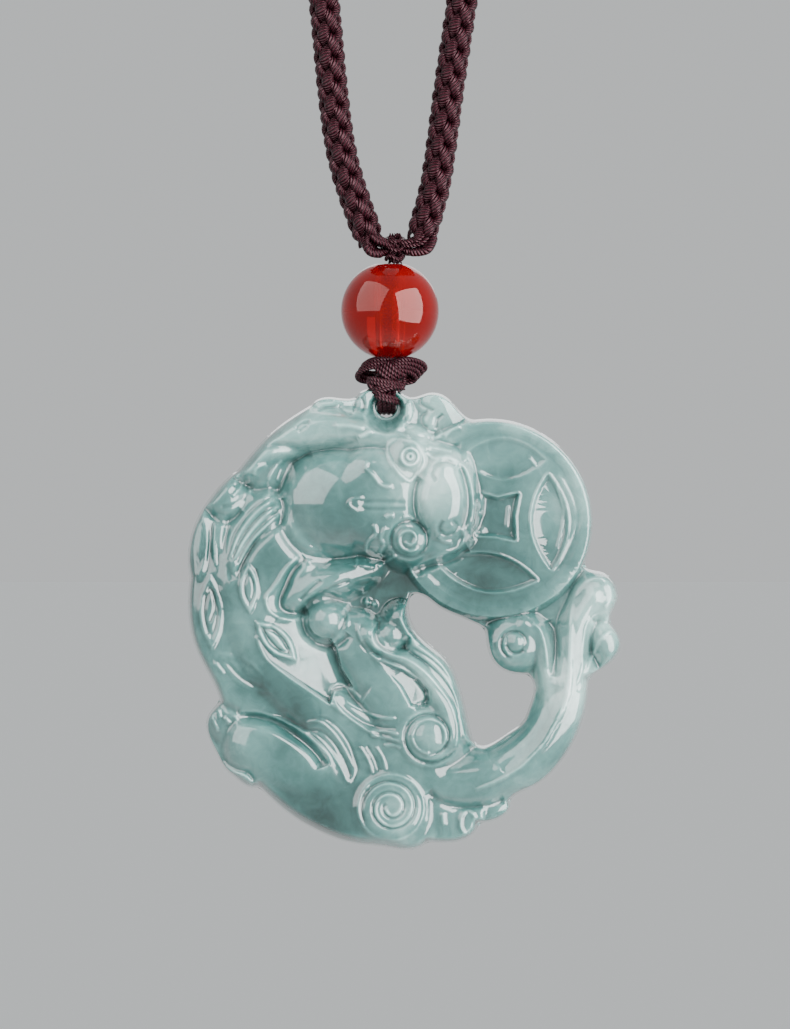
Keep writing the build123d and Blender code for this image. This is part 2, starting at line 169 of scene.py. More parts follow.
def agateMaterial():
    # Red agate, drilled and polished: clear enough that the thread in its bore shows as a dark column
    look = {"deep": "#b80006", "clear": "#d20408", "hazeSize": 3.5, "glint": "#ffc8c0", "inside": "#f80000",
            "depth": 1500.0}
    material, tree = newMaterial("redAgatePolished")
    place = addNode(tree, "ShaderNodeTexCoord")
    haze = addNode(tree, "ShaderNodeTexNoise", inputs={
        "Vector": place.outputs["Object"], "Scale": 1 / (look["hazeSize"] * mm), "Detail": 3.0})
    colour = addNode(tree, "ShaderNodeValToRGB", inputs={"Fac": haze.outputs["Fac"]})
    colourSteps(colour, [(0.35, look["deep"]), (0.7, look["clear"])])
    surface = addNode(tree, "ShaderNodeBsdfPrincipled", inputs={
        "Base Color": colour.outputs["Color"], "Roughness": 0.02, "IOR": 1.54, "Transmission Weight": 0.85,
        "Specular IOR Level": 1.0, "Specular Tint": linear(look["glint"])})
    depth = addNode(tree, "ShaderNodeVolumeAbsorption",
                    inputs={"Color": linear(look["inside"]), "Density": look["depth"]})
    addNode(tree, "ShaderNodeOutputMaterial",
            inputs={"Surface": surface.outputs["BSDF"], "Volume": depth.outputs["Volume"]})
    return material


def threadMaterial(name, pitch, plies):
    # Twisted nylon thread, dyed a maroon that is nearly black: satin, with pinkish glints on each ply
    look = {"shadedValley": "#050102", "ply": "#16060a", "crest": "#300d17", "glint": "#e8b0ba", "fluffSize": 0.25,
            "fluffShare": 0.5, "plyDepth": 0.12}
    material, tree = newMaterial(name)
    along = addNode(tree, "ShaderNodeUVMap", {"uv_map": "run"})
    parts = addNode(tree, "ShaderNodeSeparateXYZ", inputs={"Vector": along.outputs["UV"]})
    turn = addNode(tree, "ShaderNodeMath", {"operation": "MULTIPLY_ADD"},
                   {0: parts.outputs["Y"], 1: 1 / pitch, 2: parts.outputs["X"]})
    angle = addNode(tree, "ShaderNodeMath", {"operation": "MULTIPLY"},
                    {0: turn.outputs[0], 1: math.tau * plies})
    wave = addNode(tree, "ShaderNodeMath", {"operation": "SINE"}, {0: angle.outputs[0]})
    ridge = addNode(tree, "ShaderNodeMath", {"operation": "MULTIPLY_ADD"},
                    {0: wave.outputs[0], 1: 0.5, 2: 0.5})
    place = addNode(tree, "ShaderNodeTexCoord")
    fluff = addNode(tree, "ShaderNodeTexNoise", inputs={
        "Vector": place.outputs["Object"], "Scale": 1 / (look["fluffSize"] * mm), "Detail": 2.0})
    uneven = addNode(tree, "ShaderNodeMath", {"operation": "MULTIPLY_ADD"},
                     {0: fluff.outputs["Fac"], 1: look["fluffShare"], 2: ridge.outputs[0]})
    # Painted shade in the valleys between the plies and painted light on their crests: the colour darkens
    # and pales with the twist
    colour = addNode(tree, "ShaderNodeValToRGB", inputs={"Fac": uneven.outputs[0]})
    colourSteps(colour, [(0.15, look["shadedValley"]), (0.75, look["ply"]), (1.0, look["crest"])])
    bump = addNode(tree, "ShaderNodeBump", inputs={
        "Height": uneven.outputs[0], "Strength": 0.9, "Distance": look["plyDepth"] * mm})
    surface = addNode(tree, "ShaderNodeBsdfPrincipled", inputs={
        "Base Color": colour.outputs["Color"], "Roughness": 0.3, "Normal": bump.outputs["Normal"],
        "Specular IOR Level": 0.45, "Specular Tint": linear(look["glint"])})
    addNode(tree, "ShaderNodeOutputMaterial", inputs={"Surface": surface.outputs["BSDF"]})
    return material


jade = jadeMaterial()
agate = agateMaterial()
# The two threads differ in how far one turn of the twist runs, and in how many plies they have
cordThread = threadMaterial("nylonCordMaroon", 1.8 * mm, 6)
knotThread = threadMaterial("nylonKnotMaroon", 1.0 * mm, 3)
print("materials made")


# Helpers for pieces

def newPiece(name, mesh, material, body, replaced):
    piece = bpy.data.objects.new(name, mesh)
    bpy.context.collection.objects.link(piece)
    mesh.materials.clear()
    mesh.materials.append(material)
    mesh.polygons.foreach_set("use_smooth", [True] * len(mesh.polygons))
    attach(piece, body)
    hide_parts(*replaced)
    print(name, len(mesh.polygons), "faces")
    return piece


def meshOf(bm, name):
    mesh = bpy.data.meshes.new(name)
    bm.to_mesh(mesh)
    bm.free()
    return mesh


def madeMesh(data, kind="", settings=None):
    # The mesh that comes of a curve, or of a mesh with one modifier on it
    holder = bpy.data.objects.new("holder", data)
    bpy.context.collection.objects.link(holder)
    if kind:
        modifier = holder.modifiers.new("shaping", kind)
        for name, value in settings.items():
            setattr(modifier, name, value)
    bpy.context.view_layer.update()
    made = bpy.data.meshes.new_from_object(holder.evaluated_get(bpy.context.evaluated_depsgraph_get()))
    bpy.data.objects.remove(holder)
    return made


def lengthsAlong(line):
    steps = np.linalg.norm(np.diff(line, axis=0), axis=1)
    return np.concatenate([[0], np.cumsum(steps)])


def smoothRun(points, spacing):
    # One NURBS spline along the run, read back and spaced evenly
    curve = bpy.data.curves.new("run", "CURVE")
    curve.dimensions = "3D"
    spline = curve.splines.new("NURBS")
    spline.points.add(len(points) - 1)
    for point, place in zip(spline.points, points):
        point.co = (*place, 1)
    spline.order_u = 3
    spline.use_endpoint_u = True
    spline.resolution_u = 24
    mesh = madeMesh(curve)
    line = np.array([vertex.co[:] for vertex in mesh.vertices])
    bpy.data.curves.remove(curve)
    bpy.data.meshes.remove(mesh)
    distance = lengthsAlong(line)
    count = max(3, round(distance[-1] / spacing) + 1)
    wanted = np.linspace(0, distance[-1], count)
    return np.column_stack([np.interp(wanted, distance, line[:, axis]) for axis in range(3)]), wanted


def unit(rows):
    # Each row at a length of 1
    return rows / np.maximum(np.linalg.norm(rows, axis=1, keepdims=True), 1e-12)


def sweptThread(centres, outward, halfWide, halfThick, sides):
    # Rings of a flattened thread, its thickness along outward, and how far along it each one is
    tangent = unit(np.gradient(centres, axis=0))
    out = unit(outward - tangent * (outward * tangent).sum(axis=1, keepdims=True))
    side = np.cross(tangent, out)
    angles = np.arange(sides) * math.tau / sides
    rings = (centres[:, None, :]
             + side[:, None, :] * (np.cos(angles)[None, :, None] * halfWide[:, None, None])
             + out[:, None, :] * (np.sin(angles)[None, :, None] * halfThick[:, None, None]))
    return rings, lengthsAlong(centres)


def threadMesh(name, threads):
    # The threads' rings as one mesh with closed ends, its UV map the turn round a thread and the way along
    vertices = []
    faces = []
    turns = []
    for rings, distance in threads:
        first = len(vertices)
        count, sides, _ = rings.shape
        vertices.extend(map(tuple, rings.reshape(-1, 3)))
        for ring in range(count - 1):
            here, there = distance[ring], distance[ring + 1]
            for corner in range(sides):
                following = (corner + 1) % sides
                low = first + ring * sides
                share, after = corner / sides, (corner + 1) / sides
                faces.append((low + corner, low + following, low + sides + following, low + sides + corner))
                turns.extend([(share, here), (after, here), (after, there), (share, there)])
        faces.append(tuple(first + corner for corner in reversed(range(sides))))
        turns.extend([(0.5, distance[0])] * sides)
        last = first + (count - 1) * sides
        faces.append(tuple(last + corner for corner in range(sides)))
        turns.extend([(0.5, distance[-1])] * sides)
    mesh = bpy.data.meshes.new(name)
    mesh.from_pydata(vertices, [], faces)
    layer = mesh.uv_layers.new(name="run")
    layer.data.foreach_set("uv", np.array(turns, dtype=np.float32).ravel())
    mesh.validate()
    bm = bmesh.new()
    bm.from_mesh(mesh)
    bmesh.ops.recalc_face_normals(bm, faces=bm.faces)
    bm.to_mesh(mesh)
    bm.free()
    return mesh


def newThreads(name, threads, material, replaced):
    newPiece(name, threadMesh(name, threads), material, "cord_set", [replaced])


# Neck cord: eight strands in a round braid along the loop's route, four winding each way, each over and
# under the others by turns. The route repeats the source's points, in mm to the right of and above the
# gathering knot.
cord = {"diameter": 3.4, "stitch": 2.45, "halfWide": 0.64, "halfThick": 0.43, "under": 0.6,
        "linger": 0.82, "liftPower": 0.6, "columnTurn": 0.35, "underWide": 0.6, "underThick": 0.75,
        "endLength": 1.4, "endSize": 0.4, "sides": 9, "step": 0.27}
neckRoute = [
    (-1.9, 0.5), (-3.6, 4.9), (-5.1, 10.0), (-5.9, 16.4), (-6.7, 25.4), (-8.2, 39.0), (-11.5, 66.0),
    (-17.7, 112.0), (-24.0, 164.0), (-29.0, 216.0), (-31.4, 249.0), (-30.4, 268.0), (-22.4, 284.6),
    (-8.0, 293.0), (8.0, 293.0), (22.4, 284.6), (30.6, 268.0), (31.8, 249.0), (29.6, 216.0),
    (24.8, 164.0), (18.6, 112.0), (12.8, 66.0), (9.3, 39.0), (7.4, 25.4), (6.0, 16.4), (5.2, 10.0),
    (4.4, 4.9), (2.9, 0.5),
]
gatherLow, gatherHigh = nodeBox("gather_knot")
gatherMiddle = (gatherLow + gatherHigh) / 2


def braidStrands(route, wind):
    # A strand lingers on the outside, leaning a little, and crosses quickly under its neighbours
    outer = cord["diameter"] / 2
    tangent = unit(np.gradient(route, axis=0))
    front = np.tile((0.0, -1.0, 0.0), (len(route), 1))
    side = np.cross(tangent, front)
    length = lengthsAlong(route) / mm
    turn = math.tau * length / (4 * cord["stitch"])
    share = length / length[-1]
    facing = cord["columnTurn"] * (2 * share - 1)
    threads = []
    for strand in range(4):
        over = wind * np.cos(4 * turn)
        angle = wind * (turn - wind * cord["linger"] / 4 * np.sin(4 * turn)) + strand * math.pi / 2 + facing
        lift = (0.5 + 0.5 * over) ** cord["liftPower"]
        reach = cord["under"] + (outer - cord["halfThick"] - cord["under"]) * lift
        radial = front * np.cos(angle)[:, None] + side * np.sin(angle)[:, None]
        centres = route + radial * reach[:, None] * mm
        end = np.clip(np.minimum(length, length[-1] - length) / cord["endLength"], cord["endSize"], 1)
        wide = cord["halfWide"] * mm * (cord["underWide"] + (1 - cord["underWide"]) * lift) * end
        thick = cord["halfThick"] * mm * (cord["underThick"] + (1 - cord["underThick"]) * lift) * end
        threads.append(sweptThread(centres, radial, wide, thick, cord["sides"]))
    return threads


routeMetres = [(x * mm, 0, gatherMiddle.z + z * mm) for x, z in neckRoute]
neckLine, neckLengths = smoothRun(routeMetres, cord["step"] * mm)
print("neck cord length mm", round(neckLengths[-1] / mm, 1))
for name, wind in (("neckBraidRight", 1), ("neckBraidLeft", -1)):
    newThreads(name, braidStrands(neckLine, wind), cordThread, "neck_cord")


# Knots and the bail: twisted threads along short runs, in mm from the middle of their own CAD node
threadSet = {"step": 0.12, "aside": (0.31, 0.22, 0.93), "nearlyAlong": 0.15,
             "endSize": 0.25, "endGrowth": 0.16}


def threadAlong(points, radius, middle, sides=10):
    # A round thread that swells over its first few rings, so that no end shows as a cut disc
    run, _ = smoothRun([middle + Vector(point) * mm for point in points], threadSet["step"] * mm)
    tangent = unit(np.gradient(run, axis=0))
    outward = np.cross(tangent, np.tile(threadSet["aside"], (len(run), 1)))
    outward[np.linalg.norm(outward, axis=1) < threadSet["nearlyAlong"]] = (0, 1, 0)
    ring = np.arange(len(run))
    growth = threadSet["endSize"] + threadSet["endGrowth"] * np.minimum(ring, ring[::-1])
    size = radius * mm * np.clip(growth, 0, 1)
    return sweptThread(run, outward, size, size, sides)


gatherSet = {"threadRadius": 0.2, "endShare": 1.5, "footShare": 2.2, "upright": 9, "levels": 7,
             "turnBetween": 2.4, "sway": 0.7, "swayRate": 1.9, "narrow": 0.25, "narrowRate": 2.3,
             "narrowShift": 1.7, "wraps": 3, "wrapDrop": 0.6, "wrapWave": 0.25, "corners": 12,
             "reach": 0.72}
# Ends of the braids' strands that run in to the gathering knot
gatherEnds = [
    [(-3.4, -0.5, 2.6), (-2.5, -0.7, 1.3), (-1.4, -0.6, 1.0), (-0.3, -0.5, 0.4)],
    [(-3.0, -1.0, 2.2), (-2.2, -1.0, 0.9), (-1.2, -0.8, 0.5), (0.1, -0.4, 0.1)],
    [(-2.6, 0.2, 1.8), (-1.7, 0.2, 0.6), (-0.8, 0.3, 0.4), (0.3, 0.3, 0.3)],
    [(-3.2, 0.9, 1.9), (-2.0, 0.8, 0.6), (-1.0, 0.6, 0.2), (0.2, 0.5, -0.1)],
    [(-2.9, -0.3, 1.2), (-2.3, -0.4, -0.3), (-1.4, -0.4, -0.6), (-0.5, -0.3, -0.2)],
    [(4.0, -0.5, 2.6), (3.3, -0.7, 0.9), (2.2, -0.7, 0.3), (0.6, -0.5, 0.3)],
    [(3.6, -1.0, 2.4), (2.7, -1.0, 1.0), (1.6, -0.8, 0.7), (0.2, -0.4, 0.5)],
    [(3.4, 0.2, 1.8), (2.6, 0.2, -0.1), (1.5, 0.3, -0.3), (0.3, 0.3, 0.0)],
    [(3.9, 0.9, 1.9), (3.0, 0.8, 0.4), (1.6, 0.6, 0.5), (0.2, 0.5, 0.4)],
    [(3.6, -0.4, 1.0), (2.9, -0.6, -0.6), (1.9, -0.5, -0.5), (0.7, -0.4, -0.1)],
]
# Thicker ends under the braids, which close them off
gatherFeet = [
    [(-3.3, -0.3, 1.6), (-3.0, -0.6, 0.1), (-2.2, -0.6, -0.7), (-0.9, -0.4, -0.5)],
    [(-2.6, 0.4, 1.2), (-2.3, 0.4, 0.0), (-1.6, 0.3, -0.5), (-0.4, 0.3, -0.3)],
    [(4.1, -0.3, 1.6), (3.8, -0.6, 0.3), (3.0, -0.6, -0.5), (1.2, -0.4, -0.4)],
    [(3.4, 0.4, 1.2), (3.1, 0.4, 0.0), (2.2, 0.3, -0.4), (0.6, 0.3, -0.3)],
]


def gatherThreads():
    # The braids' ends, a core of upright threads that sway and narrow, and turns of thread round it
    half = (gatherHigh.z - gatherLow.z) / mm / 2
    radius = gatherSet["threadRadius"]
    threads = [threadAlong(run, gatherSet["endShare"] * radius, gatherMiddle) for run in gatherEnds]
    threads += [threadAlong(run, gatherSet["footShare"] * radius, gatherMiddle) for run in gatherFeet]
    narrow = gatherSet["narrow"]
    for thread in range(gatherSet["upright"]):
        run = []
        for level in range(gatherSet["levels"]):
            sway = math.sin(gatherSet["swayRate"] * level + thread)
            angle = gatherSet["turnBetween"] * thread + gatherSet["sway"] * sway
            pulse = math.cos(gatherSet["narrowRate"] * level + gatherSet["narrowShift"] * thread)
            reach = gatherSet["reach"] * (1 - narrow + narrow * pulse)
            height = half * (2 * level / (gatherSet["levels"] - 1) - 1)
            run.append((reach * math.cos(angle), reach * math.sin(angle), height))
        threads.append(threadAlong(run, radius, gatherMiddle, sides=8))
    reach = gatherSet["reach"] + radius
    for wrap in range(gatherSet["wraps"]):
        ring = []
        for corner in range(gatherSet["corners"] + 3):
            angle = math.tau * corner / gatherSet["corners"] + 2 * wrap
            height = half * gatherSet["wrapDrop"] * (1 - wrap)
            height += gatherSet["wrapWave"] * math.sin(angle * (1 + wrap) + wrap)
            ring.append((reach * math.cos(angle), reach * math.sin(angle), height))
        threads.append(threadAlong(ring, radius, gatherMiddle, sides=8))
    return threads


newThreads("gatherThreads", gatherThreads(), knotThread, "gather_knot")

knotLow, knotHigh = nodeBox("lower_knot")
knotMiddle = (knotLow + knotHigh) / 2
# The knot under the bead: a loop to the left, a lobe to the right and turns round its middle. Each row has
# how many threads lie side by side, the spread between them as (x, y, z), and the points of the middle one.
knotSet = {"threadRadius": 0.27}
knotRuns = [
    (3, (0.28, 0.0, 0.42), [(1.0, -0.9, 0.9), (-0.6, -1.2, 1.0), (-2.0, -1.0, 0.9), (-3.1, -0.3, 0.3),
        (-3.0, 0.4, -0.4), (-1.7, 0.6, -0.6), (-0.2, 0.5, -0.4)]),
    (4, (0.34, 0.05, 0.36), [(-1.0, -1.1, 0.1), (0.2, -1.5, 0.7), (1.6, -1.5, 0.8), (2.9, -0.9, 0.4),
        (3.2, -0.2, -0.3), (2.1, -0.2, -0.62), (0.7, 0.3, -0.6)]),
    (3, (0.3, 0.1, 0.4), [(-1.2, 0.8, 0.9), (0.4, 1.2, 0.9), (2.0, 1.0, 0.6), (2.9, 0.5, 0.0),
        (2.0, 0.8, -0.7), (0.2, 1.0, -0.7), (-1.5, 0.8, -0.4)]),
    (4, (0.36, 0.0, 0.22), [(-0.9, 0.6, 1.1), (-1.0, -0.9, 0.9), (-0.4, -1.7, 0.2), (0.6, -1.8, -0.6),
        (1.1, -1.0, -0.8), (0.2, 0.9, -0.75)]),
    (3, (0.36, 0.0, 0.2), [(1.1, 0.3, 1.0), (0.9, -1.0, 0.7), (0.3, -1.6, -0.4), (-0.6, -1.4, -0.72),
        (-1.0, -0.5, -0.95)]),
]


def knotThreads():
    threads = []
    for count, spread, points in knotRuns:
        for thread in range(count):
            off = thread - (count - 1) / 2
            run = [tuple(value + off * part for value, part in zip(point, spread)) for point in points]
            threads.append(threadAlong(run, knotSet["threadRadius"], knotMiddle))
    return threads


newThreads("knotThreads", knotThreads(), knotThread, "lower_knot")

bailLow, bailHigh = nodeBox("bail_loop")
bailSet = {"threadRadius": 0.27, "threads": 4, "spacing": 1.75, "fan": 2.6, "neck": 1.3, "turns": 3,
           "turnTop": 0.5, "turnDrop": 0.74, "turnReach": 1.9, "turnTaper": 0.28, "turnTilt": 0.45,
           "turnFront": 0.6, "pairDrop": 0.34}


def bailThreads():
    # A bundle that leaves the knot wide, narrows into the jade's hole and comes up again behind, and turns
    # of thread round the front of it that hide where it goes in
    middle = Vector(((bailLow.x + bailHigh.x) / 2, 0, bailLow.z))
    radius = bailSet["threadRadius"]
    half = (bailHigh.y - bailLow.y) / 2 / mm - radius
    top = (bailHigh.z - bailLow.z) / mm
    pivot = half + radius
    threads = []
    for thread in range(bailSet["threads"]):
        x = (thread - (bailSet["threads"] - 1) / 2) * bailSet["spacing"] * radius
        wide = x * bailSet["fan"]
        run = [(wide, -half * 0.7, top + 1.0), (wide, -half - 0.15, top),
               (x * bailSet["neck"], -half, pivot + 0.5), (x, -half, pivot)]
        for corner in range(1, 8):
            angle = math.pi * corner / 8
            run.append((x, -half * math.cos(angle), pivot - half * math.sin(angle)))
        run += [(x, half, pivot), (wide, half + 0.1, top), (wide, half * 0.7, top + 1.0)]
        threads.append(threadAlong(run, radius, middle))
    for turn in range(bailSet["turns"]):
        way = 1 if turn % 2 else -1
        level = top + bailSet["turnTop"] - bailSet["turnDrop"] * turn
        reach = bailSet["turnReach"] - bailSet["turnTaper"] * turn
        tilt = bailSet["turnTilt"] * way
        front = -half - bailSet["turnFront"]
        run = [(-reach, -half + 0.05, level - tilt), (-reach * 0.6, front + 0.15, level - 0.5 * tilt),
               (0.0, front, level), (reach * 0.6, front + 0.15, level + 0.5 * tilt),
               (reach, -half + 0.05, level + tilt)]
        threads.append(threadAlong(run, radius, middle))
        again = [(x, y, z + bailSet["pairDrop"] * way) for x, y, z in reversed(run)]
        threads.append(threadAlong(again, radius, middle))
    return threads


newThreads("bailThreads", bailThreads(), knotThread, "bail_loop")

coreLow, coreHigh = nodeBox("bead_thread")
coreMiddle = (coreLow + coreHigh) / 2
coreSet = {"threads": 3, "reach": 0.36, "threadRadius": 0.4}


def coreThreads():
    # Threads that turn twice round each other on their way through the bead
    half = (coreHigh.z - coreLow.z) / mm / 2
    reach = coreSet["reach"]
    threads = []
    for start in range(coreSet["threads"]):
        run = []
        for corner in range(17):
            angle = math.tau * (corner / 8 + start / coreSet["threads"])
            run.append((reach * math.cos(angle), reach * math.sin(angle), half * (corner / 8 - 1)))
        threads.append(threadAlong(run, coreSet["threadRadius"], coreMiddle))
    return threads


newThreads("beadCoreThreads", coreThreads(), knotThread, "bead_thread")


# Bead: its section on one side of the bore, with softened lips, spun all the way round
beadLow, beadHigh = nodeBox("red_bead")
beadSet = {"bore": 2.0, "lip": 0.25, "profile": 40, "round": 96}


def beadMesh():
    radius = (beadHigh.x - beadLow.x) / 2
    middle = (beadHigh.z + beadLow.z) / 2
    half = (beadHigh.z - beadLow.z) / 2
    bore = beadSet["bore"] / 2 * mm
    lip = beadSet["lip"] * mm
    flat = math.acos(half / radius)
    section = []
    for place in range(beadSet["profile"] + 1):
        angle = flat + (math.pi - 2 * flat) * place / beadSet["profile"]
        section.append((radius * math.sin(angle), radius * math.cos(angle)))
    lipTop = [(bore + lip * (1 - math.cos(turn)), half - lip * (1 - math.sin(turn)))
              for turn in np.linspace(0, math.pi / 2, 6)]
    section = lipTop + section + [(x, -z) for x, z in reversed(lipTop)]
    bm = bmesh.new()
    ring = [bm.verts.new((x, 0, middle + z)) for x, z in section]
    edges = [bm.edges.new(pair) for pair in zip(ring, ring[1:] + ring[:1])]
    bmesh.ops.spin(bm, geom=ring + edges, cent=(0, 0, middle), axis=(0, 0, 1), angle=math.tau,
                   steps=beadSet["round"], use_merge=True)
    bmesh.ops.remove_doubles(bm, verts=bm.verts, dist=1e-7)
    bmesh.ops.recalc_face_normals(bm, faces=bm.faces)
    return meshOf(bm, "agateBead")


newPiece("agateBead", beadMesh(), agate, "cord_set", ["red_bead"])


# Carved jade. A copy of the CAD solid is remeshed finely, and its two faces are then carved to these forms.
# Places are read off the photograph in its pixels, and heights are mm over the jade's middle plane.
carving = {"voxel": 0.26, "triangles": 198000, "ground": 2.3, "blend": 0.55, "coinBlend": 0.3,
           "edgeHalf": 0.7, "edgeRise": 6.4, "outerRound": 4.0, "openingRound": 2.6, "edgeBlend": 0.4,
           "wallFade": 0.35, "back": 3.0, "land": 0.3, "landHeight": 1.4, "landSlope": 2.6,
           "swellReach": 3, "limbReach": 2.2, "flatReach": 1.0, "curlFade": 0.05, "castFrom": 20.0,
           "thinnest": 0.3}

swells = [
    # name, middle x, y, half width, half height, tilt, top, height at the rim, power
    ("skull", 340, 504, 59, 55, 0, 6.4, 3.2, 2.4),
    ("forehead", 378, 500, 42, 46, 0, 6.25, 5.3, 5.0),
    ("face", 421, 500, 55, 58, 0, 5.5, 4.2, 5.0),
    ("muzzle", 440, 500, 27, 40, 0, 6.75, 5.1, 4.2),
    ("upper nostril", 443, 470, 13, 12, 0, 6.2, 5.5, 2.0),
    ("lower nostril", 447, 524, 12, 12, 0, 6.2, 5.5, 2.0),
    ("upper eye", 407, 458, 18, 20, -30, 6.1, 5.2, 2.4),
    ("lower eye", 409, 539, 20, 20, 0, 6.1, 5.1, 2.4),
    ("lip", 464, 498, 11, 36, 0, 5.15, 4.5, 4.0),
    ("jaw", 440, 546, 28, 12, 18, 5.0, 4.2, 2.4),
    ("neck side", 274, 562, 34, 42, 0, 4.95, 4.65, 3.0),
    ("shoulder curl", 224, 497, 21, 27, 38, 4.4, 3.2, 2.8),
    ("shoulder panel", 266, 470, 20, 22, 30, 3.9, 3.1, 2.2),
    ("ear", 321, 585, 55, 20, 21, 5.4, 3.7, 2.2),
    ("ball", 327, 620, 18, 18, 0, 5.9, 4.5, 2.3),
    ("small ball", 391, 635, 14, 14, 0, 5.4, 4.5, 2.2),
    ("wing curl", 429, 735, 33, 33, 0, 5.7, 4.6, 4.0),
    ("wing curl eye", 429, 735, 16, 16, 0, 6.0, 5.4, 2.2),
    ("haunch", 391, 806, 39, 38, 0, 5.3, 4.5, 4.0),
    ("thigh", 290, 757, 72, 36, -28, 5.25, 3.7, 5.0),
    ("thigh end", 340, 785, 42, 32, -40, 4.85, 4.65, 4.0),
    ("knee", 251, 746, 28, 28, 0, 5.1, 3.2, 2.2),
    ("heel", 221, 719, 15, 22, 12, 3.7, 2.4, 2.2),
    ("knee toe", 244, 779, 16, 12, -35, 3.9, 2.8, 2.2),
    ("near toe", 428, 820, 15, 22, 0, 4.3, 4.15, 4.0),
    ("middle toe", 446, 822, 13, 22, 0, 4.15, 4.05, 4.0),
    ("far toe", 467, 820, 13, 21, 0, 4.0, 3.8, 4.0),
    ("long toe", 490, 808, 24, 14, 14, 3.5, 2.7, 2.6),
    ("tail curl", 515, 642, 26, 26, 0, 4.3, 3.4, 3.6),
    ("tail curl eye", 516, 642, 9, 9, 0, 4.6, 4.0, 2.0),
    ("scroll lobe", 600, 597, 23, 23, 0, 4.5, 3.4, 2.4),
    ("scroll tip", 605, 644, 14, 24, 18, 4.2, 3.0, 2.2),
    ("crest leaf", 408, 415, 11, 20, 15, 2.9, 2.2, 2.2),
    ("crest lobe", 438, 406, 22, 15, -28, 3.3, 2.6, 2.6),
    ("crest lobe below", 430, 422, 11, 12, 0, 3.2, 2.6, 2.2),
    ("crest leaf beyond", 448, 424, 14, 15, -35, 3.0, 2.5, 2.2),
    ("crown", 332, 405, 32, 13, 4, 2.9, 2.0, 2.2),
    ("spike", 363, 407, 12, 20, -8, 2.7, 1.8, 2.2),
]

limbs = [
    # name, half width, top, height at the side, power, points
    ("back band", 20, 5.0, 3.3, 2.4, [(392, 440), (350, 430), (312, 430), (284, 440), (262, 452),
        (250, 462)]),
    ("band end", 15, 4.2, 3.0, 2.2, [(285, 437), (262, 450), (247, 466)]),
    ("paw", 17, 5.0, 3.4, 2.4, [(268, 508), (254, 522), (243, 540), (235, 562)]),
    ("wrist", 13, 4.6, 3.4, 2.2, [(240, 545), (232, 570), (229, 590)]),
    ("side strip", 13, 3.9, 2.9, 2.6, [(208, 520), (203, 548), (202, 575)]),
    ("inner strip", 10, 4.1, 3.3, 2.4, [(222, 522), (219, 548), (221, 575)]),
    ("flank", 29, 4.3, 3.6, 3.0, [(217, 585), (216, 625), (228, 668), (248, 700), (268, 728)]),
    ("trunk", 36, 4.9, 2.6, 3.8, [(248, 580), (254, 625), (278, 668), (318, 706), (366, 742), (420, 772)]),
    ("foreleg", 27, 5.3, 4.1, 4.6, [(354, 640), (372, 672), (390, 700), (404, 722)]),
    ("scroll band", 13, 5.9, 4.5, 2.2, [(368, 634), (386, 655), (412, 668), (432, 688), (446, 712),
        (450, 738)]),
    ("wing", 17, 5.2, 3.2, 2.4, [(400, 618), (420, 645), (440, 670), (456, 700), (461, 730)]),
    ("belly", 35, 4.7, 3.4, 3.4, [(262, 772), (296, 800), (336, 818), (380, 826)]),
    ("tail root", 31, 4.85, 2.8, 2.8, [(408, 780), (446, 785), (478, 782)]),
    ("tail", 26, 4.85, 2.8, 2.1, [(408, 780), (446, 785), (484, 780), (520, 764), (548, 738), (563, 706),
        (570, 672)]),
    ("tail stem", 18, 4.7, 2.8, 2.1, [(566, 690), (570, 655), (578, 622), (592, 598)]),
    ("curl stem", 11, 4.15, 3.2, 2.2, [(524, 624), (540, 636), (546, 662), (550, 684), (554, 710)]),
]

flats = [
    # name, height at the first corner and slopes to the right and down in mm a pixel, softness, corners
    ("belly plateau", 5.0, -0.019, -0.001, 0.3, [(257, 632), (282, 616), (300, 612), (308, 616), (309, 626),
        (314, 634), (322, 638), (331, 639), (337, 650), (341, 667), (352, 686), (334, 690), (330, 702),
        (308, 687), (287, 673), (269, 660), (261, 647)]),
    ("foreleg plateau", 5.3, -0.017, -0.002, 0.3, [(378, 659), (389, 664), (402, 669), (418, 679),
        (427, 690), (428, 699), (418, 705), (411, 704), (402, 686), (390, 672)]),
    ("toe plateau", 4.3, -0.006, -0.002, 0.5, [(430, 799), (440, 804), (462, 807), (484, 806), (482, 822),
        (474, 838), (452, 843), (434, 844), (424, 838), (430, 818)]),
]

leaves = [
    # name, middle x, y, half length, half width, tilt, rise, rim
    ("flank leaf", 212, 612, 38, 12, 92, 0.16, 0.06),
    ("side leaf", 250, 588, 25, 10, 92, 0.2, 0.1),
    ("belly leaf", 277, 640, 28, 12, -44, 0.28, 0.12),
    ("faint leaf", 246, 672, 34, 13, -38, 0.05, 0.02),
    ("strip leaf", 201, 545, 34, 9, 88, 0.07, 0.03),
    ("toe nail", 244, 779, 14, 7, -35, 0.25, 0.12),
    ("ear tip", 367, 566, 7, 3, -8, 0.3, 0.12),
    ("crest leaf", 407, 414, 14, 5, 75, 0.25, 0.12),
]
leafSet = {"reach": 1.5, "bank": 0.3, "rimOff": 0.25, "rimWidth": 0.2, "innerLength": 0.62,
           "innerWidth": 0.5, "innerHalf": 0.18, "innerDepth": 0.7}

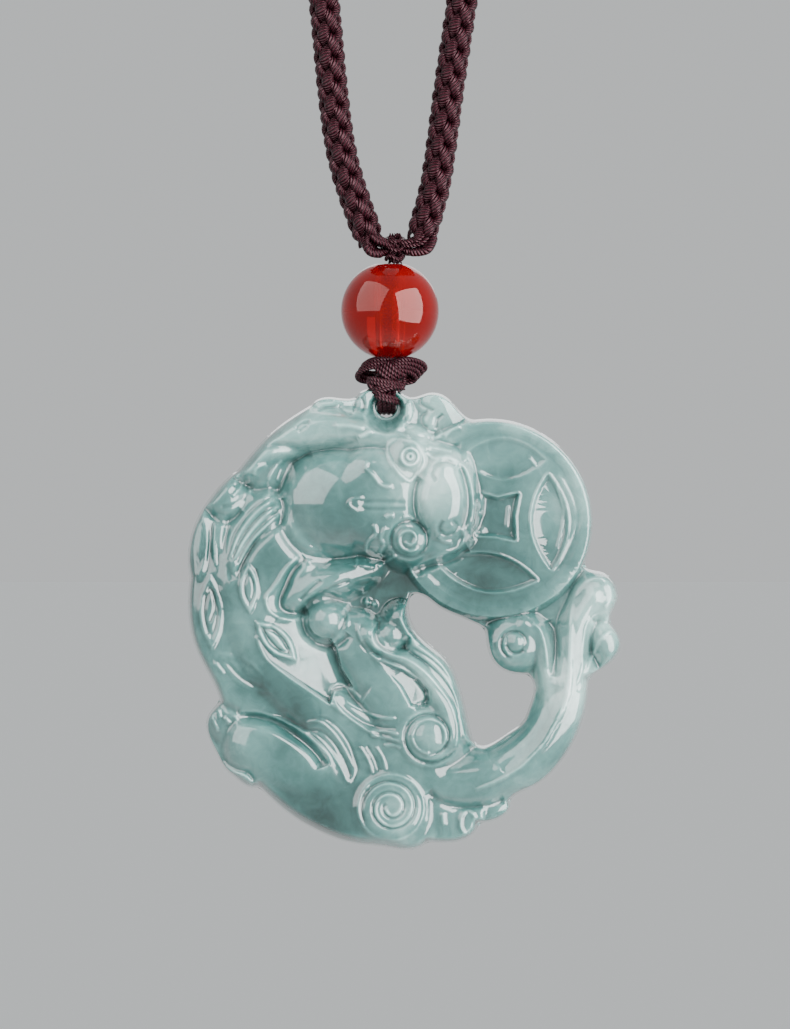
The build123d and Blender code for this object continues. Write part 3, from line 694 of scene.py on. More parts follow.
strokes = [
    # name, half width and rise in mm, a cut where it is below 0, and points
    ("crown line", 0.2, -0.2, [(312, 406), (322, 401), (334, 400)]),
    ("crown line below", 0.2, -0.2, [(318, 411), (327, 408), (337, 408)]),
    ("crown notch", 0.2, -0.25, [(338, 407), (345, 412), (353, 415)]),
    ("crown foot", 0.35, -0.4, [(311, 409), (330, 411), (346, 415), (362, 419), (380, 426), (400, 432),
        (420, 438), (443, 444), (460, 447)]),
    ("spike line", 0.17, -0.21, [(359, 397), (355, 403), (354, 413)]),
    ("spike line beyond", 0.17, -0.21, [(361, 397), (364, 405), (362, 413)]),
    ("hole rim", 0.2, 0.22, [(373, 402), (372, 412), (377, 420), (387, 426), (396, 422)]),
    ("crest lobe edge", 0.22, -0.22, [(420, 396), (421, 404), (427, 408), (434, 411)]),
    ("crest curl", 0.22, -0.2, [(428, 411), (422, 417), (423, 425), (428, 428)]),
    ("crest line", 0.18, -0.22, [(443, 414), (437, 420), (436, 429)]),
    ("crest foot", 0.18, 0.2, [(430, 438), (436, 437), (442, 431)]),
    ("crest far foot", 0.18, 0.2, [(444, 437), (452, 430), (460, 427)]),
    ("band foot", 0.5, -0.5, [(258, 450), (272, 445), (290, 447), (302, 451), (325, 450), (345, 445),
        (358, 440)]),
    ("band mark", 0.2, -0.18, [(296, 430), (303, 424), (311, 422)]),
    ("band mark below", 0.18, -0.14, [(299, 432), (308, 426)]),
    ("band stroke", 0.25, 0.2, [(336, 426), (350, 426), (364, 429)]),
    ("temple stroke", 0.2, 0.22, [(359, 438), (366, 435), (372, 431)]),
    ("panel stroke", 0.2, 0.22, [(269, 481), (275, 469), (283, 461)]),
    ("panel stroke left", 0.25, 0.22, [(255, 476), (258, 469), (268, 465)]),
    ("panel stroke right", 0.18, 0.2, [(278, 482), (283, 469)]),
    ("panel left crease", 0.4, -0.4, [(237, 467), (244, 477), (252, 490)]),
    ("panel foot crease", 0.4, -0.35, [(251, 490), (262, 489), (272, 487), (281, 493)]),
    ("skull crease", 0.65, -0.6, [(312, 453), (296, 460), (284, 474), (279, 492), (279, 510), (283, 527),
        (291, 542), (303, 553), (320, 560), (338, 562), (356, 561)]),
    ("curl stroke", 0.22, -0.14, [(217, 496), (226, 488), (233, 480)]),
    ("curl ridge", 0.17, 0.16, [(233, 497), (241, 488), (244, 482)]),
    ("curl ridge above", 0.18, 0.2, [(236, 484), (238, 476)]),
    ("curl hook", 0.22, -0.12, [(222, 507), (234, 505), (246, 496)]),
    ("curl foot", 0.4, -0.4, [(205, 504), (210, 514), (221, 521), (233, 519), (243, 510)]),
    ("finger cut one", 0.17, -0.21, [(274, 496), (259, 505), (246, 518), (235, 536), (229, 557)]),
    ("finger ridge one", 0.14, 0.15, [(276, 499), (262, 508), (249, 521), (238, 538), (231, 558)]),
    ("finger cut two", 0.17, -0.21, [(278, 503), (265, 512), (252, 525), (241, 541), (233, 560)]),
    ("finger ridge two", 0.14, 0.15, [(279, 506), (266, 516), (254, 529), (243, 544), (235, 560)]),
    ("finger cut three", 0.17, -0.21, [(280, 510), (268, 520), (256, 532), (245, 547), (237, 563)]),
    ("finger ridge three", 0.14, 0.15, [(280, 514), (269, 524), (257, 536), (247, 551), (239, 566)]),
    ("finger cut four", 0.17, -0.21, [(278, 519), (267, 529), (257, 540), (247, 555), (239, 572)]),
    ("paw edge", 0.4, -0.4, [(282, 498), (285, 509), (281, 522), (268, 533), (255, 545), (245, 560),
        (238, 578)]),
    ("strip ridge", 0.17, 0.19, [(216, 524), (215, 543), (217, 566)]),
    ("strip crease", 0.3, -0.12, [(213, 522), (212, 546), (208, 573)]),
    ("wrist edge", 0.3, -0.18, [(230, 520), (226, 540), (228, 562), (234, 580)]),
    ("leaf line one", 0.17, -0.14, [(213, 588), (216, 606), (211, 622)]),
    ("leaf line two", 0.17, -0.12, [(206, 592), (205, 616), (209, 634)]),
    ("side leaf line", 0.16, -0.16, [(256, 568), (259, 584), (256, 606)]),
    ("belly leaf line", 0.17, -0.18, [(261, 626), (271, 639), (282, 652)]),
    ("belly leaf line above", 0.17, -0.18, [(269, 624), (280, 635), (290, 650)]),
    ("faint line one", 0.22, -0.06, [(219, 655), (232, 666), (248, 680), (268, 690)]),
    ("faint line two", 0.22, -0.06, [(232, 653), (248, 663), (262, 676), (272, 688)]),
    ("flank glint", 0.16, 0.16, [(216, 662), (220, 667), (225, 673)]),
    ("ear valley", 0.5, -0.7, [(306, 558), (294, 570), (286, 586), (281, 600), (284, 609), (296, 613),
        (308, 609)]),
    ("ear crest", 0.2, 0.22, [(299, 556), (293, 562), (289, 566), (283, 574), (279, 581), (273, 589),
        (268, 595), (267, 602), (270, 610), (278, 616), (289, 619), (300, 619)]),
    ("ear fold", 0.24, -0.25, [(300, 600), (312, 588), (322, 580)]),
    ("ear fold below", 0.2, -0.22, [(306, 604), (318, 594), (334, 586), (350, 580)]),
    ("ear top line", 0.18, 0.08, [(300, 565), (312, 560), (332, 561), (358, 565)]),
    ("ball ring", 0.45, -0.75, [(345, 607), (335, 598), (322, 596), (309, 603), (303, 616), (306, 631),
        (316, 641), (328, 645), (341, 642), (349, 633)]),
    ("ball ridge", 0.16, 0.18, [(336, 601), (345, 607), (349, 616), (347, 627)]),
    ("ball ridge below", 0.16, 0.18, [(315, 640), (327, 643), (337, 641)]),
    ("crest line long", 0.22, 0.22, [(257, 635), (262, 648), (270, 660), (288, 673), (309, 687), (330, 701),
        (344, 713)]),
    ("foreleg crease", 0.8, -0.4, [(334, 646), (339, 660), (345, 675), (355, 687), (366, 695)]),
    ("forehead crease one", 0.14, 0.12, [(348, 503), (353, 499), (364, 498)]),
    ("forehead crease two", 0.14, 0.12, [(348, 503), (352, 508), (358, 511)]),
    ("forehead line one", 0.24, -0.13, [(360, 502), (382, 501), (406, 502)]),
    ("forehead line two", 0.24, -0.13, [(360, 508), (382, 509), (406, 508)]),
    ("brow wave", 0.2, 0.22, [(368, 461), (366, 468), (373, 475), (381, 485), (393, 487)]),
    ("brow nick", 0.18, 0.2, [(385, 518), (390, 515), (394, 516)]),
    ("brow nick right", 0.18, 0.2, [(403, 517), (409, 516), (414, 519)]),
    ("cheek wave one", 0.2, 0.22, [(374, 524), (376, 534), (368, 542), (366, 553)]),
    ("cheek wave two", 0.2, 0.22, [(386, 527), (381, 538), (384, 545), (379, 554)]),
    ("cheek wave three", 0.22, 0.24, [(396, 555), (388, 561), (378, 567)]),
    ("eye rim above", 0.19, 0.21, [(398, 438), (412, 441), (421, 450), (424, 463), (417, 474), (409, 481),
        (397, 471), (389, 457), (388, 446), (398, 438)]),
    ("muzzle side", 0.45, -0.45, [(421, 478), (415, 488), (413, 504), (417, 520), (426, 532)]),
    ("muzzle foot", 0.22, 0.2, [(438, 537), (444, 541), (452, 542)]),
    ("nostril swirl", 0.22, -0.28, [(443, 520), (439, 528), (444, 534), (452, 533), (457, 526),
        (452, 520)]),
    ("nostril swirl above", 0.22, -0.28, [(436, 482), (432, 474), (436, 466), (446, 462), (455, 466)]),
    ("nose line", 0.2, 0.22, [(426, 452), (433, 458), (447, 456), (459, 462)]),
    ("nose line above", 0.2, 0.2, [(428, 447), (440, 449), (452, 452)]),
    ("lip ridge", 0.2, 0.22, [(458, 461), (465, 469), (470, 481), (473, 498), (473, 515), (470, 530)]),
    ("lip cut", 0.3, -0.22, [(460, 468), (464, 480), (467, 498), (466, 516), (461, 528)]),
    ("mouth cut", 0.35, -0.35, [(466, 460), (473, 472), (478, 490), (479, 508), (477, 524), (472, 538)]),
    ("jaw ridge", 0.22, 0.24, [(462, 528), (464, 537), (459, 548), (443, 554), (424, 562), (410, 570)]),
    ("jaw foot", 0.45, -0.5, [(468, 548), (452, 557), (432, 564), (414, 573)]),
    ("scroll outer", 0.18, 0.2, [(359, 622), (359, 632), (364, 643), (372, 653), (380, 660)]),
    ("scroll inner cut", 0.3, -0.45, [(362, 640), (371, 650), (386, 658), (402, 664), (416, 675), (425, 686),
        (429, 695), (425, 703), (415, 707)]),
    ("scroll ridge", 0.2, 0.22, [(370, 637), (376, 646), (391, 653), (407, 658), (423, 669), (438, 685),
        (450, 702), (456, 720), (457, 736), (454, 746), (446, 755)]),
    ("rib one", 0.17, -0.21, [(408, 652), (420, 658), (433, 668), (444, 680), (453, 695), (459, 714)]),
    ("rib two", 0.17, -0.21, [(412, 647), (426, 655), (440, 667), (451, 682), (460, 700)]),
    ("rib three", 0.17, -0.21, [(414, 641), (430, 651), (444, 663), (455, 678)]),
    ("wing edge", 0.17, 0.19, [(408, 630), (420, 638), (436, 650), (448, 664), (456, 680), (462, 700),
        (466, 722)]),
    ("neck glint", 0.2, 0.22, [(399, 615), (406, 628), (413, 636)]),
    ("small ball ring", 0.35, -0.5, [(384, 617), (376, 628), (378, 640), (386, 648), (397, 650), (406, 644),
        (409, 634)]),
    ("small ball ridge", 0.15, 0.17, [(381, 618), (373, 629), (375, 641), (384, 650), (396, 653)]),
    ("hook outer", 0.16, 0.18, [(330, 694), (332, 687), (339, 683), (348, 686), (356, 693), (361, 699)]),
    ("hook inner", 0.18, -0.18, [(335, 694), (341, 690), (348, 694), (356, 701), (364, 704)]),
    ("hook foot", 0.16, 0.16, [(332, 693), (337, 703), (345, 713), (357, 722), (370, 731), (378, 734)]),
    ("hook line", 0.15, 0.17, [(346, 700), (360, 708), (378, 716), (396, 717)]),
    ("hook shade", 0.22, -0.14, [(342, 704), (352, 713), (366, 722), (380, 726), (396, 727)]),
    ("joint line one", 0.16, 0.18, [(369, 730), (384, 730), (399, 733)]),
    ("joint line two", 0.16, 0.18, [(370, 734), (384, 736), (400, 740)]),
    ("joint line three", 0.16, 0.18, [(384, 744), (394, 744), (401, 747)]),
    ("claw outer", 0.14, 0.15, [(304, 730), (313, 733), (323, 741), (333, 753), (341, 766), (347, 779),
        (351, 780)]),
    ("claw middle", 0.18, -0.16, [(310, 729), (321, 730), (332, 739), (341, 752), (348, 767), (351, 776)]),
    ("claw inner", 0.12, 0.13, [(306, 722), (318, 720), (330, 728), (341, 742), (349, 757), (353, 765)]),
    ("claw top", 0.18, -0.1, [(311, 717), (325, 717), (338, 726), (349, 741), (355, 756), (358, 769),
        (353, 780)]),
    ("short stroke one", 0.13, 0.14, [(360, 745), (368, 758), (373, 773)]),
    ("short stroke two", 0.18, -0.1, [(367, 744), (375, 757), (380, 771)]),
    ("short stroke three", 0.13, 0.14, [(376, 745), (383, 757), (386, 769)]),
    ("thigh crease", 0.6, -0.95, [(238, 717), (255, 717), (274, 722), (293, 733), (309, 745), (320, 757),
        (324, 766)]),
    ("thigh crease lip", 0.2, 0.2, [(242, 711), (258, 711), (278, 717), (298, 727), (316, 741), (328, 754),
        (331, 764)]),
    ("knee crease", 0.45, -0.5, [(238, 718), (229, 730), (224, 745), (227, 760), (236, 768), (250, 774),
        (257, 788)]),
    ("heel line one", 0.17, 0.19, [(212, 713), (215, 722), (219, 731)]),
    ("heel line two", 0.17, 0.19, [(219, 707), (221, 717)]),
    ("heel line three", 0.17, 0.19, [(225, 716), (231, 723)]),
    ("flank foot", 0.4, -0.35, [(218, 702), (228, 706), (240, 712)]),
    ("toe crease", 0.42, -0.4, [(428, 790), (440, 800), (462, 805), (487, 803), (504, 798)]),
    ("toe parting one", 0.4, -0.07, [(436, 806), (436, 822), (438, 840)]),
    ("toe parting two", 0.4, -0.05, [(456, 808), (456, 824), (458, 838)]),
    ("toe drop one", 0.2, 0.2, [(443, 811), (443, 818), (444, 824)]),
    ("toe drop ring", 0.16, 0.18, [(467, 808), (461, 816), (461, 827), (467, 833), (473, 827), (474, 815),
        (467, 808)]),
    ("toe foot", 0.18, 0.14, [(430, 838), (441, 839), (452, 838)]),
    ("tail crest", 0.18, 0.2, [(474, 789), (498, 779), (518, 767), (529, 757), (543, 742), (553, 725),
        (562, 708)]),
    ("tail band", 0.32, 0.3, [(556, 719), (562, 708), (567, 692), (569, 673), (569, 652), (569, 629),
        (569, 610), (573, 594), (583, 582), (596, 577), (608, 578), (616, 588)]),
    ("tail shade", 0.6, -0.3, [(500, 768), (522, 752), (539, 732), (550, 708), (556, 684)]),
    ("curl line", 0.14, 0.15, [(505, 634), (504, 644), (509, 654)]),
    ("curl line beyond", 0.16, 0.18, [(521, 636), (525, 643), (523, 650)]),
    ("stem line", 0.18, 0.2, [(532, 622), (540, 630), (545, 648), (547, 668)]),
    ("stem cut", 0.5, -0.42, [(547, 620), (553, 636), (555, 656), (553, 676)]),
    ("scroll dot", 0.3, 0.22, [(605, 604), (607, 606), (608, 608)]),
    ("right leaf inner arc", 0.13, 0.14, [(555, 484), (563, 515), (556, 550)]),
    ("right leaf far arc", 0.2, 0.07, [(558, 474), (575, 518), (556, 566)]),
    ("square inner line", 0.13, 0.14, [(508, 505), (506, 528)]),
    ("top leaf glint", 0.13, 0.14, [(529, 458), (536, 467)]),
    ("lobe parting", 0.4, -0.4, [(620, 614), (610, 616), (600, 618), (592, 622)]),
    ("tip moon", 0.2, 0.22, [(577, 691), (583, 682), (587, 670), (592, 655), (598, 641), (606, 633),
        (613, 631), (617, 639)]),
    ("tip ridge", 0.15, 0.17, [(576, 684), (581, 667), (582, 646), (585, 626), (590, 617)]),
]

spirals = [
    # name, middle x, y, first and last radius in pixels, turns, first angle, half width and rise in mm
    ("haunch cut", 391, 806, 30, 6, 2.2, 150, 0.17, -0.22),
    ("haunch ring", 391, 806, 40, 40, 1.0, 0, 0.6, -0.08),
    ("haunch ridge", 391, 806, 33, 33, 1.0, 0, 0.16, 0.14),
    ("haunch inner ridge", 391, 806, 26, 5, 2.0, 190, 0.15, 0.14),
    ("wing curl cut", 429, 735, 28, 17, 1.2, 20, 0.22, -0.34),
    ("wing curl ridge", 429, 735, 17, 17, 1.0, 0, 0.15, 0.16),
    ("tail curl cut", 514, 643, 15, 8, 1.2, 100, 0.2, -0.26),
    ("lower eye", 409, 539, 18, 18, 1.0, 0, 0.2, -0.32),
    ("lower eye middle", 409, 539, 13, 4, 1.3, 40, 0.17, 0.25),
    ("upper eye pupil", 410, 457, 8.5, 8.5, 1.0, 0, 0.18, 0.42),
    ("upper eye dot", 410, 457, 3, 3, 1.0, 0, 0.17, 0.3),
]

dots = [
    # name, middle x, y, half width and rise in mm
    ("pearl one", 367, 602, 0.35, 0.6),
    ("pearl two", 374, 604, 0.28, 0.5),
    ("tooth above", 476, 505, 0.3, 0.3),
    ("tooth below", 475, 533, 0.35, 0.35),
    ("tooth beyond", 482, 531, 0.3, 0.3),
    ("tooth corner", 480, 513, 0.25, 0.25),
]

# Patches painted paler or darker on the jade. A few follow its own clouds; most are painted light and shade:
# painted shade under the chin, behind the ear, along the underside of the trunk and belly and at the coin's
# foot, and painted light on the coin's top and right and on the thin tail, scroll and crest, where light
# glows through
toneAndLightPatches = [
    # name, middle x, y, reach in pixels, how much paler, or darker below 0
    ("band", 325, 425, 42, 0.22), ("band left", 275, 445, 26, 0.1), ("face", 425, 465, 42, 0.22),
    ("muzzle", 440, 500, 34, 0.18), ("temple", 385, 450, 26, 0.14), ("skull", 345, 522, 36, -0.2),
    ("behind the ear", 270, 560, 26, -0.22), ("under the chin", 372, 588, 30, -0.26),
    ("trunk", 262, 680, 26, -0.22), ("trunk below", 300, 712, 24, -0.26),
    ("chin right", 398, 590, 22, -0.2), ("coin foot", 484, 572, 40, -0.3),
    ("coin left", 490, 510, 26, -0.1), ("coin top", 520, 432, 40, 0.16), ("coin right", 572, 500, 34, 0.2),
    ("coin leaf", 515, 462, 30, -0.16), ("tail", 566, 690, 36, 0.4), ("tail low", 530, 755, 34, 0.1),
    ("scroll", 598, 610, 36, 0.36), ("wing", 430, 676, 34, 0.16), ("wing curl", 430, 735, 28, 0.1),
    ("crest", 437, 405, 24, 0.16), ("crown", 325, 402, 24, 0.04), ("haunch", 392, 808, 34, 0.1),
    ("belly", 322, 812, 44, -0.34), ("knee", 250, 745, 26, 0.06), ("left flank", 206, 590, 34, -0.2),
    ("paw", 255, 520, 26, 0.1), ("ball", 327, 618, 18, 0.08), ("toes", 450, 815, 28, 0.1),
    ("plateau", 305, 655, 26, 0.14),
]


def smoothPath(points, pieces=6):
    # A curve through the points, each stretch bent by its neighbours
    points = np.asarray(points, dtype=float)
    if len(points) < 3:
        return points
    before = np.vstack([points[:1], points[:-2]])
    after = np.vstack([points[2:], points[-1:]])
    start, end = points[:-1], points[1:]
    rows = []
    for share in np.arange(pieces) / pieces:
        square, cube = share ** 2, share ** 3
        rows.append(0.5 * (2 * start + (end - before) * share
                           + (2 * before - 5 * start + 4 * end - after) * square
                           + (3 * start - before - 3 * end + after) * cube))
    return np.vstack([np.stack(rows, axis=1).reshape(-1, 2), points[-1:]])


def nearPath(x, z, path, reach):
    # Which points lie within reach of a path, how far off they are, and how far along it
    low, high = path.min(axis=0) - reach, path.max(axis=0) + reach
    near = np.flatnonzero((x > low[0]) & (x < high[0]) & (z > low[1]) & (z < high[1]))
    best = np.full(len(near), 1e9)
    share = np.zeros(len(near))
    px, pz = x[near], z[near]
    count = len(path) - 1
    for index, ((x0, z0), (x1, z1)) in enumerate(zip(path, path[1:])):
        length = max((x1 - x0) ** 2 + (z1 - z0) ** 2, 1e-12)
        along = np.clip(((px - x0) * (x1 - x0) + (pz - z0) * (z1 - z0)) / length, 0, 1)
        away = np.hypot(px - x0 - along * (x1 - x0), pz - z0 - along * (z1 - z0))
        closer = away < best
        best = np.where(closer, away, best)
        share = np.where(closer, (index + along) / count, share)
    return near, best, share


def insidePath(x, z, path):
    # Whether each point lies inside a closed path, by how often a line to its right crosses it
    found = np.zeros(x.shape, dtype=bool)
    for (x0, z0), (x1, z1) in zip(path, np.roll(path, -1, axis=0)):
        if z0 != z1:
            found ^= ((z0 > z) != (z1 > z)) & (x < (x1 - x0) * (z - z0) / (z1 - z0) + x0)
    return found


def insideDistance(x, z, path, reach):
    # Which points lie within reach of a closed path, and how far inside it they are, below 0 outside
    near, away, _ = nearPath(x, z, np.vstack([path, path[:1]]), reach)
    return near, np.where(insidePath(x[near], z[near], path), away, -away)


def joined(first, second, blend):
    # The higher of two heights, with a soft fillet where they meet
    return np.maximum(first, second) + np.maximum(blend - np.abs(first - second), 0) ** 2 / (4 * blend)


def limited(first, second, blend):
    # The lower of two heights, with a soft edge where they meet
    return -joined(-first, -second, blend)


def addStroke(height, x, z, path, half, rise, fade=0.12):
    # A rounded ridge or cut along a path, which fades out at its two ends
    near, away, share = nearPath(x, z, path, 3 * half)
    taper = np.clip(np.minimum(share, 1 - share) / fade, 0, 1) ** 0.5 if fade else 1
    height[near] += rise * taper * np.exp(-(away / half) ** 2)


def lensPath(middleX, middleY, halfLength, halfWidth, tilt, pieces=10):
    # Two arcs that meet in a point at each end
    swing = math.radians(tilt)
    rows = []
    for side in (1, -1):
        for share in np.linspace(-1, 1, pieces, endpoint=False) * side:
            a, b = -share * halfLength, side * halfWidth * (1 - share ** 2)
            rows.append((middleX + a * math.cos(swing) + b * math.sin(swing),
                         middleY - a * math.sin(swing) + b * math.cos(swing)))
    return rows


def spiralPath(middleX, middleY, first, last, turns, angle, pieces=28):
    rows = []
    for share in np.linspace(0, 1, max(12, round(turns * pieces))):
        turn = math.radians(angle) + math.tau * turns * share
        reach = first + (last - first) * share
        rows.append((middleX + reach * math.cos(turn), middleY + reach * math.sin(turn)))
    return rows


# Cash coin: rim, square recess and four leaf-shaped ones, read off the photograph as the forms above are
coin = {"middle": (493, 518), "radius": 98, "field": 3.4, "rim": 0.14, "rimWidth": 15, "recess": 0.36,
        "square": [(478, 494), (497, 499), (517, 495), (513, 516), (514, 539), (496, 535), (477, 534),
                   (480, 514)],
        "squareDepth": 0.62, "rimBank": 0.35, "slope": 0.42, "lip": 0.1, "lipWidth": 0.13,
        "lipOff": 0.55, "edgeFall": 2.4, "reach": 6.0}
coinLeaves = [
    # middle x, y, half length, half width, tilt, share of the recess
    (549, 522, 46, 17, 92, 1.0), (487, 572, 48, 18, -9, 1.0), (503, 459, 40, 19, -2, 0.4),
]


def coinHeight(x, z):
    middle = places([coin["middle"]])[0]
    radius = coin["radius"] * pixelAcross
    away = np.hypot(x - middle[0], z - middle[1])
    rimWidth = coin["rimWidth"] * pixelAcross
    rim = coin["rim"] * np.clip((away - radius + rimWidth) / (coin["rimBank"] * rimWidth), 0, 1)
    height = coin["field"] + rim
    shapes = [(places(coin["square"]), coin["squareDepth"])]
    for x0, y0, halfLength, halfWidth, tilt, share in coinLeaves:
        shapes.append((places(lensPath(x0, y0, halfLength, halfWidth, tilt)), coin["recess"] * share))
    for path, depth in shapes:
        near, inside = insideDistance(x, z, path, coin["reach"])
        height[near] -= depth * np.clip(inside / coin["slope"] + 0.5, 0, 1)
        lip = coin["lip"] * min(depth / coin["recess"], 1)
        height[near] += lip * np.exp(-((inside + coin["lipOff"] * coin["slope"]) / coin["lipWidth"]) ** 2)
    return np.where(away < radius, height, height - coin["edgeFall"] * (away - radius))


def carvedFront(x, z):
    # The large forms first, joined softly, and then the coin, the leaves and the fine lines over them
    height = np.full(x.shape, carving["ground"])
    blend = carving["blend"]
    for name, px, py, halfWidth, halfHeight, tilt, top, rim, power in swells:
        middle = places([(px, py)])[0]
        swing = math.radians(tilt)
        dx, dz = x - middle[0], z - middle[1]
        along = (dx * math.cos(swing) + dz * math.sin(swing)) / (halfWidth * pixelAcross)
        beside = (dz * math.cos(swing) - dx * math.sin(swing)) / (halfHeight * pixelUp)
        out = np.minimum(np.hypot(along, beside), carving["swellReach"])
        height = joined(height, top - (top - rim) * out ** power, blend)
    for name, half, top, side, power, points in limbs:
        path = smoothPath(places(points))
        near, away, _ = nearPath(x, z, path, carving["limbReach"] * half * pixelAcross)
        rise = top - (top - side) * (away / (half * pixelAcross)) ** power
        height[near] = joined(height[near], rise, blend)
    for name, level, right, down, soft, corners in flats:
        path = places(corners)
        near, inside = insideDistance(x, z, path, carving["flatReach"])
        px = (x[near] - path[0][0]) / pixelAcross
        py = (path[0][1] - z[near]) / pixelUp
        share = np.clip(inside / soft + 0.5, 0, 1)
        height[near] += (level + right * px + down * py - height[near]) * share
    height = joined(height, coinHeight(x, z), carving["coinBlend"])
    for name, px, py, halfLength, halfWidth, tilt, rise, rim in leaves:
        path = places(lensPath(px, py, halfLength, halfWidth, tilt))
        near, inside = insideDistance(x, z, path, leafSet["reach"])
        height[near] += rise * np.clip(inside / leafSet["bank"] + 0.5, 0, 1)
        height[near] += rim * np.exp(-((inside - leafSet["rimOff"]) / leafSet["rimWidth"]) ** 2)
        halfLength *= leafSet["innerLength"]
        halfWidth *= leafSet["innerWidth"]
        inner = places(lensPath(px, py, halfLength, halfWidth, tilt))
        closed = np.vstack([inner, inner[:1]])
        addStroke(height, x, z, closed, leafSet["innerHalf"], -rise * leafSet["innerDepth"], fade=0)
    for name, half, rise, points in strokes:
        addStroke(height, x, z, smoothPath(places(points)), half, rise)
    for name, px, py, first, last, turns, angle, half, rise in spirals:
        path = places(spiralPath(px, py, first, last, turns, angle))
        closes = first == last and turns == 1.0
        addStroke(height, x, z, path, half, rise, fade=0 if closes else carving["curlFade"])
    for name, px, py, half, rise in dots:
        middle = places([(px, py)])[0]
        height += rise * np.exp(-(((x - middle[0]) ** 2 + (z - middle[1]) ** 2) / half ** 2))
    return height


backSet = {"creases": {"skull crease", "band foot", "thigh crease", "crest line long", "foreleg crease",
                       "tail crest", "toe crease", "jaw foot", "scroll outer", "ear valley", "crown foot",
                       "stem cut", "lobe parting"},
           "curls": {"haunch cut", "wing curl cut", "tail curl cut"}, "creaseHalf": 0.3, "creaseDepth": 0.35,
           "curlShare": 0.7, "rimRadius": 82, "rimHalf": 0.3, "rimDepth": 0.3, "leafDepth": 0.5,
           "squareDepth": 0.7}


def carvedBack(x, z):
    # The plain back keeps the coin's rim and the main creases of the body, cut shallow
    height = np.full(x.shape, carving["back"])
    for name, half, rise, points in strokes:
        if name in backSet["creases"]:
            wide = max(half, backSet["creaseHalf"])
            addStroke(height, x, z, smoothPath(places(points)), wide, -backSet["creaseDepth"])
    for name, px, py, first, last, turns, angle, half, rise in spirals:
        if name in backSet["curls"]:
            path = places(spiralPath(px, py, first, last, turns, angle))
            addStroke(height, x, z, path, half, rise * backSet["curlShare"], fade=carving["curlFade"])
    middle = places([coin["middle"]])[0]
    away = np.hypot(x - middle[0], z - middle[1])
    ring = away - backSet["rimRadius"] * pixelAcross
    height -= backSet["rimDepth"] * np.exp(-((ring / backSet["rimHalf"]) ** 2))
    shapes = [(lensPath(*leaf[:5]), backSet["leafDepth"]) for leaf in coinLeaves]
    for corners, depth in shapes + [(coin["square"], backSet["squareDepth"])]:
        near, inside = insideDistance(x, z, places(corners), coin["reach"])
        height[near] -= depth * np.clip(inside / coin["slope"] + 0.5, 0, 1)
    return height


def wallLoops(bm):
    # The upright walls of the solid: the outline, the pierced opening and the thread hole, largest first
    left = {face for face in bm.faces if abs(face.normal.y) < 0.01}
    loops = []
    while left:
        group = [left.pop()]
        for face in group:
            for edge in face.edges:
                for other in edge.link_faces:
                    if other in left:
                        left.discard(other)
                        group.append(other)
        loops.append(group)
    return sorted(loops, key=len, reverse=True)


def wallTree(group):
    # Spots along the edges of a wall, to measure how far in from it a place lies
    spots = set()
    for face in group:
        for edge in face.edges:
            first, second = (vertex.co for vertex in edge.verts)
            for share in np.linspace(0, 1, 7):
                place = first.lerp(second, share)
                spots.add((round(place.x, 6), round(place.z, 6)))
    tree = KDTree(len(spots))
    for index, (x, z) in enumerate(sorted(spots)):
        tree.insert((x, 0, z), index)
    tree.balance()
    return tree


def wallDepth(tree, x, z):
    return np.array([tree.find((a, 0, b))[2] for a, b in zip(x, z)]) / mm


def edgeLimit(depth, roundness):
    # The height that a rounded edge leaves, at a depth in from the wall
    share = np.clip(depth / roundness, 0, 1)
    return carving["edgeHalf"] + carving["edgeRise"] * np.sqrt(1 - (1 - share) ** 2)


def remeshed(mesh):
    settings = {"mode": "VOXEL", "voxel_size": carving["voxel"] * mm, "adaptivity": 0.0}
    return madeMesh(mesh, "REMESH", settings)


def halveFront(mesh):
    # The carved face gets edges half as long as the back's, for its fine lines
    bm = bmesh.new()
    bm.from_mesh(mesh)
    chosen = [edge for edge in bm.edges if all(vertex.co.y < 0 for vertex in edge.verts)]
    bmesh.ops.subdivide_edges(bm, edges=chosen, cuts=1, use_grid_fill=True)
    bm.to_mesh(mesh)
    bm.free()


def coordinates(mesh):
    rows = np.zeros(len(mesh.vertices) * 3, dtype=np.float32)
    mesh.vertices.foreach_get("co", rows)
    return rows.reshape(-1, 3).astype(float)


def carve(mesh, trees):
    # Each face's own vertices go to the carved height, and the walls between them keep their place
    rows = coordinates(mesh)
    x, z = rows[:, 0] / mm, rows[:, 2] / mm
    depths = [wallDepth(tree, rows[:, 0], rows[:, 2]) for tree in trees]
    outer = edgeLimit(depths[0], carving["outerRound"])
    limit = limited(outer, edgeLimit(depths[1], carving["openingRound"]), carving["edgeBlend"])
    bore = carving["landHeight"] + carving["landSlope"] * np.maximum(depths[2] - carving["land"], 0)
    limit = limited(limit, bore, carving["edgeBlend"])
    front = limited(carvedFront(x, z), limit, carving["edgeBlend"])
    back = limited(carvedBack(x, z), limit, carving["edgeBlend"])
    faces = [tuple(face.vertices) for face in mesh.polygons]
    tree = BVHTree.FromPolygons([tuple(row) for row in rows], faces)
    inside = np.clip(np.minimum.reduce(depths) / carving["wallFade"], 0, 1)
    weight = inside ** 2 * (3 - 2 * inside)
    for side, height in ((-1, front), (1, back)):
        chosen = np.flatnonzero(rows[:, 1] * side > 0)
        for index in chosen:
            if weight[index] == 0:
                continue
            start = (rows[index, 0], side * carving["castFrom"] * mm, rows[index, 2])
            hit = tree.ray_cast(start, (0, -side, 0))[0]
            if hit is None:
                continue
            grow = height[index] * mm / max(abs(hit.y), carving["thinnest"] * mm)
            rows[index, 1] *= 1 + weight[index] * (grow - 1)
    mesh.vertices.foreach_set("co", rows.astype(np.float32).ravel())
    mesh.update()


